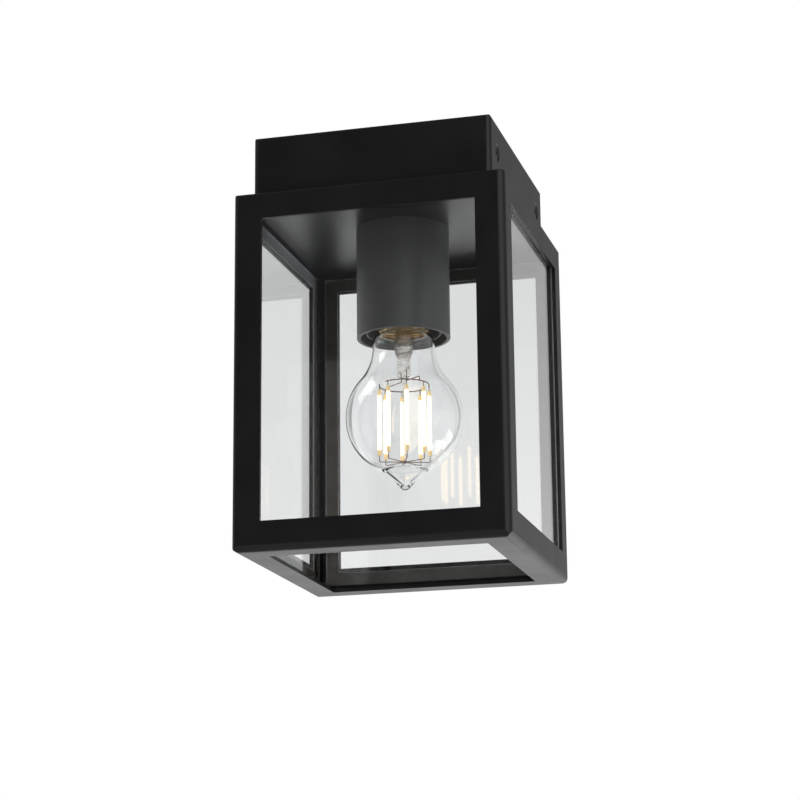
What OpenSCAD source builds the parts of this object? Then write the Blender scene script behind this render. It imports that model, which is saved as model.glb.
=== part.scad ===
// Porch ceiling lantern: a square sheet-metal housing with four clear panes, open at the bottom,
// under a smaller square canopy that is screwed to a bracket on the ceiling.
// A lampholder hangs inside a tube under the housing's roof and holds a clear screw-in bulb.
// The origin is the middle of the ceiling face of the bracket. +Z points up into the ceiling,
// -Y is the front.

/* [Housing] */
// Outside width and depth of the square housing
housing_w = 140; // [132:1:170]
// Height of the housing
housing_h = 182; // [176:1:240]
// Thickness of the sheet of the housing and the canopy
sheet = 2; // [1.5:0.1:2.4]
// Width of the corner posts, the bottom rails and the bottom flange
post_w = 15; // [12:0.5:20]
// Height of the rails over the windows
top_rail_h = 12; // [10:0.5:16]
// Outside radius of the housing's upright edges
housing_edge_r = 4; // [3:0.25:6]
// Outside radius of the housing's bottom edges
bottom_edge_r = 4.2; // [2.6:0.1:5]
// How far the housing's walls rise above its roof, round the canopy
rim_h = 1.5; // [0.5:0.25:3]

/* [Canopy] */
// Outside width and depth of the canopy
canopy_w = 124; // [120:1:130]
// Height of the canopy
canopy_h = 34; // [32:1:44]
// Outside radius of the canopy's upright edges
canopy_edge_r = 3; // [2.6:0.2:5]
// Width of the flange that the canopy stands on the housing with
canopy_flange_w = 20; // [18:0.5:24]
// Distance of the canopy's studs from its outside faces
stud_inset = 12; // [10:0.5:14]

/* [Ceiling bracket] */
// Length of the bracket, from front to rear
bracket_l = 104; // [90:1:108]
// Thickness of the bracket's sheet
bracket_t = 1.5; // [1.2:0.1:2]
// Height of the bracket's two bent sides
bracket_h = 24; // [20:1:26]
// Distance between the two ceiling screw slots
slot_pitch = 70; // [56:1:76]
// Width of a ceiling screw slot
slot_w = 5.5; // [4:0.1:6.5]
// Length of a ceiling screw slot, end to end
slot_l = 18; // [10:0.5:22]
// Distance of the side screws from the bracket's ends
side_screw_inset = 5; // [4.5:0.1:8]
// Height of the side screws under the ceiling
side_screw_drop = 15.5; // [10:0.5:16]
// Bore of the grommet that the supply cable comes through
cable_bore_d = 9; // [6:0.5:12]

/* [Glass] */
// Thickness of the glass panes
pane_t = 2; // [1.8:0.1:3]
// Overlap of a pane behind the posts and the top rail
pane_lap = 7.5; // [5:0.5:10]
// Gap over a pane, to the roof
pane_top_gap = 2; // [1:0.5:4]
// Gap under a pane, to the bottom flange
pane_bottom_gap = 3.5; // [1:0.5:6]
// Thickness of the clear glazing bead between a pane and the sheet
bead_t = 0.4; // [0.3:0.05:0.8]
// Width of the glazing bead
bead_w = 7; // [2.5:0.25:7.25]

/* [Lampholder] */
// Outside diameter of the tube that hides the lampholder
sleeve_d = 48.5; // [46:0.5:56]
// Length of that tube
sleeve_l = 59; // [50:1:66]
// Wall of that tube
sleeve_t = 2; // [1.2:0.1:2.4]
// Outside diameter of the lampholder
holder_d = 39.5; // [38.5:0.5:41]
// Length of the lampholder, without its nipple
holder_l = 54.5; // [52:0.5:58]
// Wall of the lampholder's skirt
skirt_t = 1.25; // [1:0.05:1.6]
// Outside diameter of the threaded nipple
nipple_d = 10; // [9.6:0.1:10.6]
// Bore of the nipple
nipple_bore_d = 8; // [7.4:0.1:8.4]

/* [Screw thread of the bulb] */
// Rise of one turn
thread_pitch = 3.629; // [3.4:0.001:3.8]
// Outside diameter of the bulb's thread, over its crests
thread_d = 26.1; // [25.6:0.1:26.4]
// Depth of the thread, from crest to root
thread_depth = 0.9; // [0.6:0.05:1.1]
// Clearance between the two threads, measured along a radius
thread_gap = 0.3; // [0.25:0.01:0.4]

/* [Bulb] */
// Largest diameter of the bulb
bulb_d = 60.5; // [57:0.5:64]
// Length of the bulb, from its contact to the tip of the glass
bulb_l = 110; // [109:0.5:116]
// Length of the metal cap, contact included
cap_l = 26.7; // [26:0.1:27.4]
// Diameter of the glass neck
neck_d = 32.4; // [31:0.2:34]
// Length of the straight neck, before it widens to the round of the bulb
neck_l = 1.6; // [0.5:0.1:4]
// Height of the drawn tip under the round of the bulb
tip_h = 7.8; // [5:0.1:9]
// Thickness of the glass
glass_t = 0.8; // [0.6:0.05:1]

/* [Filaments] */
// Number of light-giving rods
filament_count = 8; // [4:2:10]
// Length of a rod
filament_l = 35; // [30:0.5:38]
// Diameter of a rod
filament_d = 2; // [1.4:0.1:2.4]
// Diameter of the circle that the rods stand on
filament_circle_d = 25.8; // [22:0.2:28]
// Turn of the first rod from +X, in degrees
filament_turn = 65; // [45:1:90]
// Thickness of the wires in the bulb
wire_d = 0.6; // [0.4:0.05:0.8]

/* [Leads] */
// Outside diameter of the inner leads
lead_d = 2.4; // [1.8:0.1:2.5]

/* [Hidden] */
$fn = 64;

// Colours
black_paint = [0.13, 0.13, 0.14];
zinc = [0.72, 0.74, 0.76];
brass = [0.80, 0.66, 0.36];
clear_glass = [0.85, 0.92, 0.93, 0.35];

// Clearances
seat_gap = 0.3;       // between pieces that are seated but not clamped face to face
slip_gap = 0.1;       // around a part that is pushed or screwed into a hole
over_cut = 1;         // how far a cutting shape runs past the face that it cuts

// Heights of the main stack
roof_top = -canopy_h;
roof_under = roof_top - sheet;
housing_bottom = roof_top - housing_h;
flange_top = housing_bottom + sheet;
window_top = roof_top - top_rail_h;
window_bottom = housing_bottom + post_w;
window_w = housing_w - 2 * post_w;
rim_top = roof_top + rim_h;
rim_edge_r = 0.75 * sheet;
recess_edge_r = housing_edge_r - sheet + 0.5;

// Panes and beads
pane_top = roof_under - pane_top_gap;
pane_bottom = flange_top + pane_bottom_gap;
pane_w = window_w + 2 * pane_lap;
pane_h = pane_top - pane_bottom;
bead_face = housing_w / 2 - sheet;
pane_face = bead_face - bead_t;

// Side screws: M4, flat headed, with a hexagon socket
side_screw_r = 2;
side_head_r = 4;
side_screw_l = 9;
side_head_sink = 0.6;
side_head_gap = 0.65;
side_head_h = 1.5;     // the cone, which ends short of the bracket
side_socket_flats = 2.5;
side_socket_depth = 1.4;
side_screw_y = bracket_l / 2 - side_screw_inset;
canopy_face = canopy_w / 2;
canopy_top_r = 0.8 * sheet;
canopy_inside = canopy_face - sheet;
bracket_face = canopy_inside - seat_gap;
bracket_bend_r = bracket_t + 1;

// Cable grommet
grommet_wall = 3.5;
cable_hole_r = cable_bore_d / 2 + grommet_wall;
grommet_lip = 2.5;
grommet_t = 2;
grommet_nose = 1;

// M4 and M3 nuts and washers
m4_r = 1.95;
m4_hole_r = 2.25;
m4_flats = 7;
m4_nut_h = 3.2;
m4_washer_r = 4.5;
m4_washer_t = 0.8;
m3_r = 1.45;
m3_hole_r = 1.6;
m3_flats = 5.5;
m3_nut_h = 2.4;
thread_end = 2;       // how far an M4 stud stands out of its nut
m3_thread_end = 0.8;  // the same for an M3 stud

// Studs
stud_at = canopy_face - stud_inset;
stud_top = roof_top + sheet + m4_washer_t + m4_nut_h + thread_end;
earth_y = 32;
earth_stud_top = roof_top + 2 * m4_washer_t + m4_nut_h + thread_end;

// Earth tag and its washer
tag_ring_r = 4.5;
tag_neck_w = 3;
tag_neck_l = 5.5;
tag_wall = 0.6;
tag_barrel_start = 4.5;
tag_barrel_l = 6.5;
tag_end_t = 0.5;      // the barrel's closed end
tag_rise = lead_d / 2 + slip_gap + tag_wall;
earth_washer_r = 3.8;

// Terminal block on the roof
block_x = 30;
block_w = 16;
block_l = 30;
block_h = 12;
pole_pitch = 10;
pole_z = roof_top + block_h / 2;
pole_sleeve_r = 2.6;
pole_bore_r = 1.6;
pole_screw_r = 1.4;
pole_head_r = 1.8;
pole_head_h = 1.2;
pole_head_sink = 0.5;
pole_slot_w = 0.5;
pole_slot_depth = 0.6;
pole_screw_offset = 4.5;
block_top = roof_top + block_h;
block_stud_y = pole_pitch / 2;
block_stud_top = block_top + m3_nut_h + m3_thread_end;

// Nipple, its nut and washer
nipple_rise = 10;     // how far the nipple stands above the roof
nipple_top = roof_top + nipple_rise;
nipple_washer_t = 1;
nipple_nut_h = 3.5;
nipple_nut_flats = 14;
bush_h = 1.2;
bush_t = 0.8;
bush_spigot_l = 3;
nipple_hole_gap = 0.25;
lead_bush_r = nipple_bore_d / 2 - slip_gap - bush_t;
lead_offset = lead_d / 2 + seat_gap;

// Lampholder, from its top down
holder_top = roof_under - sleeve_t;
collar_h = 8;
collar_wall = 4;
collar_r = nipple_d / 2 + collar_wall;
nipple_setback = 1;
nipple_bottom = holder_top - collar_h + nipple_setback;
dome_h = 8;
dome_wall = 2;
holder_rim = holder_top - holder_l;
cap_side_end = 18;    // how far the cap's outside reaches down from its top
skirt_top = holder_top - cap_side_end;
cap_thread_l = 10;
cap_end = skirt_top - cap_thread_l;
thread_play = 0.2;
cap_thread_r = holder_d / 2 - skirt_t - thread_play;
cap_thread_wall = 1.3;
cap_inside_r = cap_thread_r - cap_thread_wall;
insert_top = skirt_top;
insert_h = 7;
insert_under = insert_top - insert_h;
insert_r = cap_inside_r - thread_play;
insert_ring_h = 7;
web_top = insert_under - insert_ring_h;
web_t = 2;
post_x = 8;
post_size = 5;
post_hole_depth = 4;
rivet_r = 1.5;
rivet_overlap = 1;
strap_w = 3;

// Sprung centre contact of the lampholder
tongue_w = 5;
tongue_t = 0.5;
tongue_drop = 1.2;
tongue_pivot_x = -8;
tongue_reach = 3.5;
tongue_foot = 2;      // how far the strip runs past its rivet, outwards
tongue_bend = 1.5;    // where it starts to bend down, inwards of the rivet
tongue_skew = 0.1;    // keeps its two faces parallel on the slope
tongue_top = insert_under - seat_gap;
tongue_under = tongue_top - tongue_drop - tongue_t;

// Bulb, from its contact down
bulb_top = tongue_under - seat_gap;
cap_rim = bulb_top - cap_l;
contact_h = 1.2;
contact_r = 4.8;
contact_nose_r = 3.2;
contact_flange_t = 0.7;
insulator_h = 2.8;
insulator_sink = 1.2;
shell_top = bulb_top - contact_h - insulator_h;
shoulder_h = 2.2;
shell_hole_r = 8;
shell_lip_w = 1;
shell_lip_h = 0.5;
insulator_lip = 0.8;
insulator_edge = 0.6;
thread_mid_r = thread_d / 2 - thread_depth / 2;
cap_wall = 0.45;
cap_bore_r = thread_mid_r - thread_depth / 2 - cap_wall;
cap_rim_h = 1.6;
cap_rim_slope = 0.3;
cap_rim_r = thread_d / 2 + 0.15;
round_r = bulb_d / 2;
round_z = bulb_top - bulb_l + tip_h + round_r;
neck_r = neck_d / 2;
neck_flare_h = 5.6;
neck_curve_z = cap_rim - slip_gap - neck_flare_h - neck_l;
// Radius of the hollow curve that leaves the neck upright and meets the round without a kink
neck_curve_r = (pow(neck_r, 2) + pow(neck_curve_z - round_z, 2) - pow(round_r, 2))
    / (2 * (round_r - neck_r));
glass_play = 0.2;
glass_end_r = cap_bore_r - glass_play;
glass_in_cap = 12;
glass_end = cap_rim + glass_in_cap;
tip_round_r = 3;
tip_base_r = 11.7;
tip_waist_r = 6.3;
tip_waist_rise = 0.6;
bowl_h = 3.5;

// Circuit board in the cap
board_t = 1.2;
capacitor_x = 5;
capacitor_r = 2.5;
capacitor_h = 5;
chip_l = 5;
chip_w = 3;
chip_h = 2;

// Threaded shell of the lampholder
socket_wall = 0.6;
socket_mid_r = thread_mid_r + thread_gap;
socket_out_r = socket_mid_r + thread_depth / 2 + socket_wall;
socket_over_bulb = 1.6;
socket_top = shell_top + socket_over_bulb;
barrel_in_r = socket_out_r + seat_gap;
barrel_t = 1.4;
barrel_out_r = barrel_in_r + barrel_t;
barrel_setback = 4.5;
barrel_end = holder_rim + barrel_setback;
socket_end = barrel_end;

// Filaments and their wires
filament_drop = 2.7;  // middle of the rods under the middle of the bulb's round
filament_mid = round_z - filament_drop;
filament_circle_r = filament_circle_d / 2;
wire_r = wire_d / 2;
drop_r = 0.8 * wire_r;
ring_rise = 2.5;
star_drop = 3;
upper_ring_z = filament_mid + filament_l / 2 + ring_rise;
lower_star_z = filament_mid - filament_l / 2 - star_drop;
stem_over_ring = 4.5;
stem_end = upper_ring_z + stem_over_ring;
stem_r = 4.7;
pinch_r = 3.5;        // the stem's lower end, which holds the feed wires
pinch_l = 10;
stem_taper_h = 3;
stem_solid_h = 14;
stem_flare_h = 9;
stem_setback = 1.5;
rod_r = 0.8;
hub_r = 1.4;
hub_h = 1.6;
star_start = 0.9;     // where the star's wires start in the hub, from the axis
pin_r = wire_r;
pin_l = 2;
ring_over = 6;        // how far a half ring runs past its last rod, in degrees
feed_turn = 9.5;      // from the middle of a half ring to its feed wire, in degrees
feed_start = 2.2;
feed_z = upper_ring_z + stem_over_ring / 2;

// Facets of the thread and of the leads
thread_sides = 36;
rows_per_turn = 8;
lead_sides = 8;
lead_steps = 3;

// ---------------------------------------------------------------- shared shapes

// A rectangle with round corners, about the origin
module rounded_rectangle(w, d, r) {
    square([w - 2 * r, d], center = true);
    square([w, d - 2 * r], center = true);
    for (x = [-1, 1], y = [-1, 1])
        translate([x * (w / 2 - r), y * (d / 2 - r)]) circle(r);
}

// A rectangle that hangs under the origin, with its two lower corners round
module keel(w, h, r) {
    translate([-w / 2, -h + r]) square([w, h - r]);
    translate([-w / 2 + r, -h]) square([w - 2 * r, h]);
    for (x = [-1, 1]) translate([x * (w / 2 - r), -h + r]) circle(r);
}

// A square box from height z_top down by h, with round upright and bottom edges
module edged_box(w, h, z_top, upright_r, bottom_r) {
    translate([0, 0, z_top]) intersection() {
        translate([0, 0, -h]) linear_extrude(h) rounded_rectangle(w, w, upright_r);
        translate([0, w / 2, 0]) rotate([90, 0, 0]) linear_extrude(w) keel(w, h, bottom_r);
        translate([-w / 2, 0, 0]) rotate([90, 0, 90]) linear_extrude(w) keel(w, h, bottom_r);
    }
}

// The rounding of the two upper edges along each side of a box, as a shape to cut it with
module top_edges_cut(w, z_top, r) {
    for (turn = [0, 90, 180, 270]) rotate([0, 0, turn])
        translate([w / 2 - r, w, z_top - r]) rotate([90, 0, 0]) linear_extrude(2 * w)
            difference() {
                square(r + over_cut);
                circle(r);
            }
}

// A rectangle that hangs under the origin, with its two upper corners round
module crown(w, h, r) {
    translate([0, -h]) mirror([0, 1]) keel(w, h, r);
}

// An upright cylinder between two heights
module rod(r, z_low, z_high) {
    translate([0, 0, z_low]) cylinder(r = r, h = z_high - z_low);
}

// An upright hexagon between two heights, given across its flats
module hexagon(flats, z_low, z_high) {
    translate([0, 0, z_low])
        cylinder(r = flats / 2 / cos(30), h = z_high - z_low, $fn = 6);
}

// An upright ring between two heights
module ring(r_out, r_in, z_low, z_high) {
    difference() {
        rod(r_out, z_low, z_high);
        rod(r_in, z_low - over_cut, z_high + over_cut);
    }
}

// A nut that stands on the height z_low
module nut(flats, bore_r, z_low, h) {
    difference() {
        hexagon(flats, z_low, z_low + h);
        rod(bore_r, z_low - over_cut, z_low + h + over_cut);
    }
}

// Places its children at the canopy's four studs
module at_studs() {
    for (x = [-1, 1], y = [-1, 1]) translate([x * stud_at, y * stud_at, 0]) children();
}

// Places its children at the four side screws, with +X of the child pointing out of the canopy
module at_side_screws() {
    for (x = [0, 180], y = [-1, 1])
        rotate([0, 0, x]) translate([0, y * side_screw_y, -side_screw_drop]) children();
}

// Turns a front pane's shape to one of the four sides
module to_side(turn) {
    rotate([0, 0, turn]) children();
}

// ---------------------------------------------------------------- surfaces from formulas

// Points of a surface of rings about the Z axis. Each ring is [height, radius, share of the
// thread]. The thread is a wave along Z that is turned by one full turn for each rise.
function ring_points(rings, sides) = [
    for (g = rings, j = [0:sides - 1])
        let (a = 360 * j / sides,
             r = g[1] + g[2] * thread_depth / 2 * cos(360 * g[0] / thread_pitch - a))
        [r * cos(a), r * sin(a), g[0]]
];

// Triangles between neighbouring rings, the last one joined to the first
function ring_faces(count, sides) = [
    for (i = [0:count - 1], j = [0:sides - 1], k = [0, 1])
        let (i2 = (i + 1) % count,
             j2 = (j + 1) % sides,
             low = i * sides + j,
             high = i2 * sides + j,
             low_next = i * sides + j2,
             high_next = i2 * sides + j2)
        k == 0 ? [low, high, high_next] : [low, high_next, low_next]
];

// A closed shell of rings
module ring_shell(rings) {
    polyhedron(ring_points(rings, thread_sides), ring_faces(len(rings), thread_sides),
               convexity = 10);
}

// Heights of the rows of a threaded stretch, low to high
function thread_rows(low, high) =
    let (n = ceil((high - low) / thread_pitch * rows_per_turn))
    [for (i = [0:n]) low + (high - low) * i / n];

// How much of the thread shows at a height: it runs out over one third of a turn at each end
function thread_share(z, low, high) =
    max(0, min(1, (z - low) / (thread_pitch / 3), (high - z) / (thread_pitch / 3)));

// A list from its last item to its first
function reversed(v) = [for (i = [len(v) - 1:-1:0]) v[i]];

function unit(v) = v / norm(v);

// A point of the smooth curve through the points p, at the share t of the stretch from p[i]
function curve_point(p, i, t) =
    let (a = p[max(i - 1, 0)], b = p[i], c = p[i + 1], d = p[min(i + 2, len(p) - 1)])
    0.5 * (2 * b + (c - a) * t + (2 * a - 5 * b + 4 * c - d) * t * t
           + (3 * b - a - 3 * c + d) * t * t * t);

// The smooth curve through the points p, as lead_steps points for each stretch
function smooth_route(p) = concat(
    [for (i = [0:len(p) - 2], s = [0:lead_steps - 1]) curve_point(p, i, s / lead_steps)],
    [p[len(p) - 1]]
);

// The direction of the route at each of its points
function directions(p) = [
    for (i = [0:len(p) - 1]) unit(p[min(i + 1, len(p) - 1)] - p[max(i - 1, 0)])
];

// A side direction carried along the route without twist
function carried(t, i, n) =
    i == len(t) ? [] :
    let (m = unit(n - (n * t[i]) * t[i])) concat([m], carried(t, i + 1, m));

// A round lead of radius r along the points of a route
module lead_along(route, r) {
    p = smooth_route(route);
    t = directions(p);
    n = carried(t, 0, [0, 1, 0.01]);
    last = len(p) - 1;
    points = [
        for (i = [0:last], j = [0:lead_sides - 1])
            let (a = 360 * j / lead_sides)
            p[i] + r * cos(a) * n[i] + r * sin(a) * cross(t[i], n[i])
    ];
    walls = [
        for (i = [0:last - 1], j = [0:lead_sides - 1], k = [0, 1])
            let (j2 = (j + 1) % lead_sides,
                 a = i * lead_sides + j,
                 b = i * lead_sides + j2,
                 c = a + lead_sides,
                 d = b + lead_sides)
            k == 0 ? [a, c, d] : [a, d, b]
    ];
    start_cap = [[for (j = [0:lead_sides - 1]) j]];
    end_cap = [[for (j = [lead_sides - 1:-1:0]) last * lead_sides + j]];
    polyhedron(points, concat(walls, start_cap, end_cap), convexity = 6);
}

// ---------------------------------------------------------------- bracket and side screws

// A U of sheet steel: its flat base lies on the ceiling and its two sides hang down
module ceiling_bracket() color(zinc) {
    cut_h = bracket_t + 2 * over_cut;
    difference() {
        translate([0, bracket_l / 2, 0]) rotate([90, 0, 0]) linear_extrude(bracket_l)
            difference() {
                crown(2 * bracket_face, bracket_h, bracket_bend_r);
                translate([0, -bracket_t])
                    crown(2 * (bracket_face - bracket_t), bracket_h, bracket_bend_r - bracket_t);
            }
        rod(cable_hole_r, -bracket_t - over_cut, over_cut);
        for (x = [-1, 1]) translate([x * slot_pitch / 2, 0, -bracket_t - over_cut])
            linear_extrude(cut_h) slot_outline();
        at_side_screws() translate([bracket_face - bracket_t - over_cut, 0, 0])
            rotate([0, 90, 0]) cylinder(r = side_screw_r + slip_gap, h = cut_h);
    }
}

// A slot along X with round ends
module slot_outline() {
    square([slot_l - slot_w, slot_w], center = true);
    for (x = [-1, 1]) translate([x * (slot_l - slot_w) / 2, 0]) circle(slot_w / 2);
}

// A rubber bush, flush with the ceiling, that the supply cable passes through
module cable_grommet() color([0.08, 0.08, 0.08]) rotate_extrude() polygon([
    [cable_bore_d / 2, 0],
    [cable_hole_r - slip_gap, 0],
    [cable_hole_r - slip_gap, -bracket_t],
    [cable_hole_r + grommet_lip, -bracket_t],
    [cable_hole_r + grommet_lip, -bracket_t - grommet_t],
    [cable_bore_d / 2, -bracket_t - grommet_t - grommet_nose]
]);

// Four nuts welded to the inside of the bracket's sides
module side_nuts() color(zinc) at_side_screws()
    translate([bracket_face - bracket_t, 0, 0]) rotate([0, -90, 0])
        nut(m4_flats, side_screw_r + slip_gap, 0, m4_nut_h);

// Four flat-headed screws through the canopy's left and right sides
module side_screws() color(black_paint) at_side_screws()
    translate([canopy_face - side_head_sink, 0, 0]) rotate([0, -90, 0]) difference() {
        union() {
            cylinder(r1 = side_head_r, r2 = side_head_r - side_head_h, h = side_head_h);
            cylinder(r = side_screw_r, h = side_screw_l);
        }
        hexagon(side_socket_flats, -over_cut, side_socket_depth);
    }

// ---------------------------------------------------------------- canopy and its fixing

// The upper box: four walls and a flange that stands on the housing's roof
module canopy() color(black_paint) {
    opening_w = canopy_w - 2 * canopy_flange_w;
    difference() {
        translate([0, 0, roof_top]) linear_extrude(canopy_h)
            rounded_rectangle(canopy_w, canopy_w, canopy_edge_r);
        top_edges_cut(canopy_w, 0, canopy_top_r);
        translate([0, 0, roof_top + sheet]) linear_extrude(canopy_h)
            rounded_rectangle(2 * canopy_inside, 2 * canopy_inside, canopy_edge_r - sheet);
        translate([-opening_w / 2, -opening_w / 2, roof_top - over_cut])
            cube([opening_w, opening_w, sheet + 2 * over_cut]);
        at_studs() rod(m4_hole_r, roof_top - over_cut, roof_top + sheet + over_cut);
        at_side_screws() translate([canopy_face + over_cut, 0, 0]) rotate([0, -90, 0])
            countersink();
    }
}

// The cone and the hole for a side screw, from over_cut outside the sheet
module countersink() {
    mouth_r = side_head_r + side_head_gap + over_cut;
    hole_r = side_screw_r + side_head_gap;
    cylinder(r1 = mouth_r, r2 = hole_r, h = mouth_r - hole_r);
    cylinder(r = hole_r, h = sheet + 2 * over_cut);
}

// Studs welded on the housing's roof: four for the canopy, one for earth, two for the block
module weld_studs() color(zinc) {
    at_studs() rod(m4_r, roof_top, stud_top);
    translate([0, earth_y, 0]) rod(m4_r, roof_top, earth_stud_top);
    at_block_studs() rod(m3_r, roof_top, block_stud_top);
}

module canopy_washers() color(zinc) at_studs()
    ring(m4_washer_r, m4_hole_r, roof_top + sheet, roof_top + sheet + m4_washer_t);

module canopy_nuts() color(zinc) at_studs()
    nut(m4_flats, m4_r + slip_gap, roof_top + sheet + m4_washer_t, m4_nut_h);

// ---------------------------------------------------------------- housing

// The lower box: a roof inside a low rim, four window frames and a flange round the open bottom
module housing() color(black_paint) difference() {
    edged_box(housing_w, housing_h + rim_h, rim_top, housing_edge_r, bottom_edge_r);
    top_edges_cut(housing_w, rim_top, rim_edge_r);
    translate([0, 0, roof_top]) linear_extrude(rim_h + over_cut)
        rounded_rectangle(housing_w - 2 * sheet, housing_w - 2 * sheet, recess_edge_r);
    edged_box(housing_w - 2 * sheet, housing_h - 2 * sheet, roof_under,
              housing_edge_r - sheet, bottom_edge_r - sheet);
    for (turn = [0, 90]) to_side(turn)
        translate([-window_w / 2, -housing_w, window_bottom])
            cube([window_w, 2 * housing_w, window_top - window_bottom]);
    translate([-window_w / 2, -window_w / 2, housing_bottom - over_cut])
        cube([window_w, window_w, sheet + 2 * over_cut]);
    rod(nipple_d / 2 + nipple_hole_gap, roof_under - over_cut, roof_top + over_cut);
}

// ---------------------------------------------------------------- panes and glazing beads

// A pane on the inside of the front wall
module pane() color(clear_glass) translate([-pane_w / 2, -pane_face, pane_bottom])
    cube([pane_w, pane_t, pane_h]);

module pane_front() to_side(0) pane();
module pane_right() to_side(90) pane();
module pane_rear() to_side(180) pane();
module pane_left() to_side(270) pane();

// A clear bead, all round, that bonds a pane to the inside of the front wall
module bead() color([0.75, 0.78, 0.78, 0.6]) translate([0, -bead_face, pane_bottom])
    difference() {
        translate([-pane_w / 2, 0, 0]) cube([pane_w, bead_t, pane_h]);
        translate([-pane_w / 2 + bead_w, -over_cut, bead_w])
            cube([pane_w - 2 * bead_w, bead_t + 2 * over_cut, pane_h - 2 * bead_w]);
    }

module bead_front() to_side(0) bead();
module bead_right() to_side(90) bead();
module bead_rear() to_side(180) bead();
module bead_left() to_side(270) bead();

// ---------------------------------------------------------------- lampholder

// A tube with a closed top, clamped between the roof and the lampholder
module holder_sleeve() color([0.30, 0.30, 0.31]) difference() {
    rod(sleeve_d / 2, roof_under - sleeve_l, roof_under);
    rod(sleeve_d / 2 - sleeve_t, roof_under - sleeve_l - over_cut, roof_under - sleeve_t);
    rod(nipple_d / 2 + nipple_hole_gap, roof_under - sleeve_t - over_cut, roof_under + over_cut);
}

// The threaded tube that carries the lampholder and lets the leads through the roof
module nipple() color(zinc)
    ring(nipple_d / 2, nipple_bore_d / 2, nipple_bottom, nipple_top);

module nipple_washer() color(zinc)
    ring(collar_r, nipple_d / 2 + slip_gap, roof_top, roof_top + nipple_washer_t);

module nipple_nut() color(zinc)
    nut(nipple_nut_flats, nipple_d / 2 + slip_gap, roof_top + nipple_washer_t, nipple_nut_h);

// A plastic bush in the nipple's upper end, so that its edge can't cut the leads
module lead_bush() color([0.85, 0.85, 0.82]) {
    ring(nipple_d / 2, lead_bush_r, nipple_top, nipple_top + bush_h);
    ring(nipple_bore_d / 2 - slip_gap, lead_bush_r, nipple_top - bush_spigot_l, nipple_top);
}

// Upper half of the lampholder: a dome with a threaded collar
module holder_cap() color([0.16, 0.16, 0.17]) rotate_extrude() polygon(concat(
    [[nipple_d / 2 + slip_gap, holder_top]],
    [for (a = [0:15:90])
        [collar_r + (holder_d / 2 - collar_r) * sin(a), holder_top - dome_h * (1 - cos(a))]],
    [
        [holder_d / 2, skirt_top + seat_gap],
        [cap_thread_r, skirt_top + seat_gap],
        [cap_thread_r, cap_end],
        [cap_inside_r, cap_end]
    ],
    [for (a = [90:-15:0])
        [collar_r + (cap_inside_r - collar_r) * sin(a),
         holder_top - dome_wall - dome_h * (1 - cos(a))]],
    [
        [collar_r, holder_top - collar_h],
        [nipple_d / 2 + slip_gap, holder_top - collar_h]
    ]
));

// The insulating core that carries the terminals and the centre contact
module holder_insert() color([0.88, 0.86, 0.80]) difference() {
    rotate_extrude() polygon([
        [0, insert_under],
        [barrel_in_r, insert_under],
        [barrel_in_r, web_top],
        [insert_r, web_top],
        [insert_r, insert_top],
        [0, insert_top]
    ]);
    for (x = [-1, 1]) translate([x * post_x, 0, 0])
        rod(rivet_r + slip_gap, insert_under - over_cut, insert_top + over_cut);
}

// Two brass posts that hold the ends of the leads, riveted through the core
module holder_terminals() color(brass) for (x = [-1, 1]) translate([x * post_x, 0, 0])
    difference() {
        union() {
            translate([-post_size / 2, -post_size / 2, insert_top]) cube(post_size);
            rod(rivet_r, insert_under, insert_top + rivet_overlap);
        }
        rod(lead_d / 2 + slip_gap, insert_top + post_size - post_hole_depth,
            insert_top + post_size + over_cut);
    }

// Lower half of the lampholder: a skirt with an inner barrel round the threaded shell
module holder_skirt() color([0.42, 0.42, 0.43]) rotate_extrude() polygon([
    [holder_d / 2, holder_rim],
    [holder_d / 2, skirt_top],
    [holder_d / 2 - skirt_t, skirt_top],
    [holder_d / 2 - skirt_t, web_top],
    [barrel_in_r, web_top],
    [barrel_in_r, barrel_end],
    [barrel_out_r, barrel_end],
    [barrel_out_r, web_top - web_t],
    [holder_d / 2 - skirt_t, web_top - web_t],
    [holder_d / 2 - skirt_t, holder_rim]
]);

// The threaded metal shell that the bulb screws into. The wave fades out to its widest.
module holder_thread() color(brass) ring_shell(concat(
    [[socket_end, socket_out_r, 0], [socket_top, socket_out_r, 0]],
    [for (z = reversed(thread_rows(socket_end, socket_top)))
        let (share = thread_share(z, socket_end, socket_top))
        [z, socket_mid_r + (1 - share) * thread_depth / 2, share]]
));

// The sprung strip that presses on the bulb's contact
module holder_tongue() color(brass)
    translate([0, tongue_w / 2, tongue_top]) rotate([90, 0, 0]) linear_extrude(tongue_w)
        polygon([
            [tongue_pivot_x - tongue_foot, 0],
            [tongue_pivot_x + tongue_bend, 0],
            [-tongue_reach, -tongue_drop],
            [tongue_reach, -tongue_drop],
            [tongue_reach, -tongue_drop - tongue_t],
            [-tongue_reach - tongue_skew, -tongue_drop - tongue_t],
            [tongue_pivot_x + tongue_bend - tongue_skew, -tongue_t],
            [tongue_pivot_x - tongue_foot, -tongue_t]
        ]);

// The brass strap from the neutral post to the top of the threaded shell
module shell_strap() color(brass) {
    strap_end = socket_out_r - 0.2;
    translate([post_x - tongue_foot, -strap_w / 2, tongue_top - tongue_t])
        cube([strap_end - post_x + tongue_foot, strap_w, tongue_t]);
    translate([strap_end - tongue_t, -strap_w / 2, socket_top + seat_gap])
        cube([tongue_t, strap_w, tongue_top - socket_top - seat_gap]);
}

// ---------------------------------------------------------------- wiring on the roof

// Places its children at the block's three poles, on the block's middle
module at_poles() {
    for (pole = [-1, 0, 1]) translate([block_x, pole * pole_pitch, 0]) children();
}

// Places its children at the six clamping screws
module at_pole_screws() {
    at_poles() for (x = [-1, 1]) translate([x * pole_screw_offset, 0, 0]) children();
}

// Places its children at the block's two studs
module at_block_studs() {
    for (y = [-1, 1]) translate([block_x, y * block_stud_y, 0]) children();
}

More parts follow.
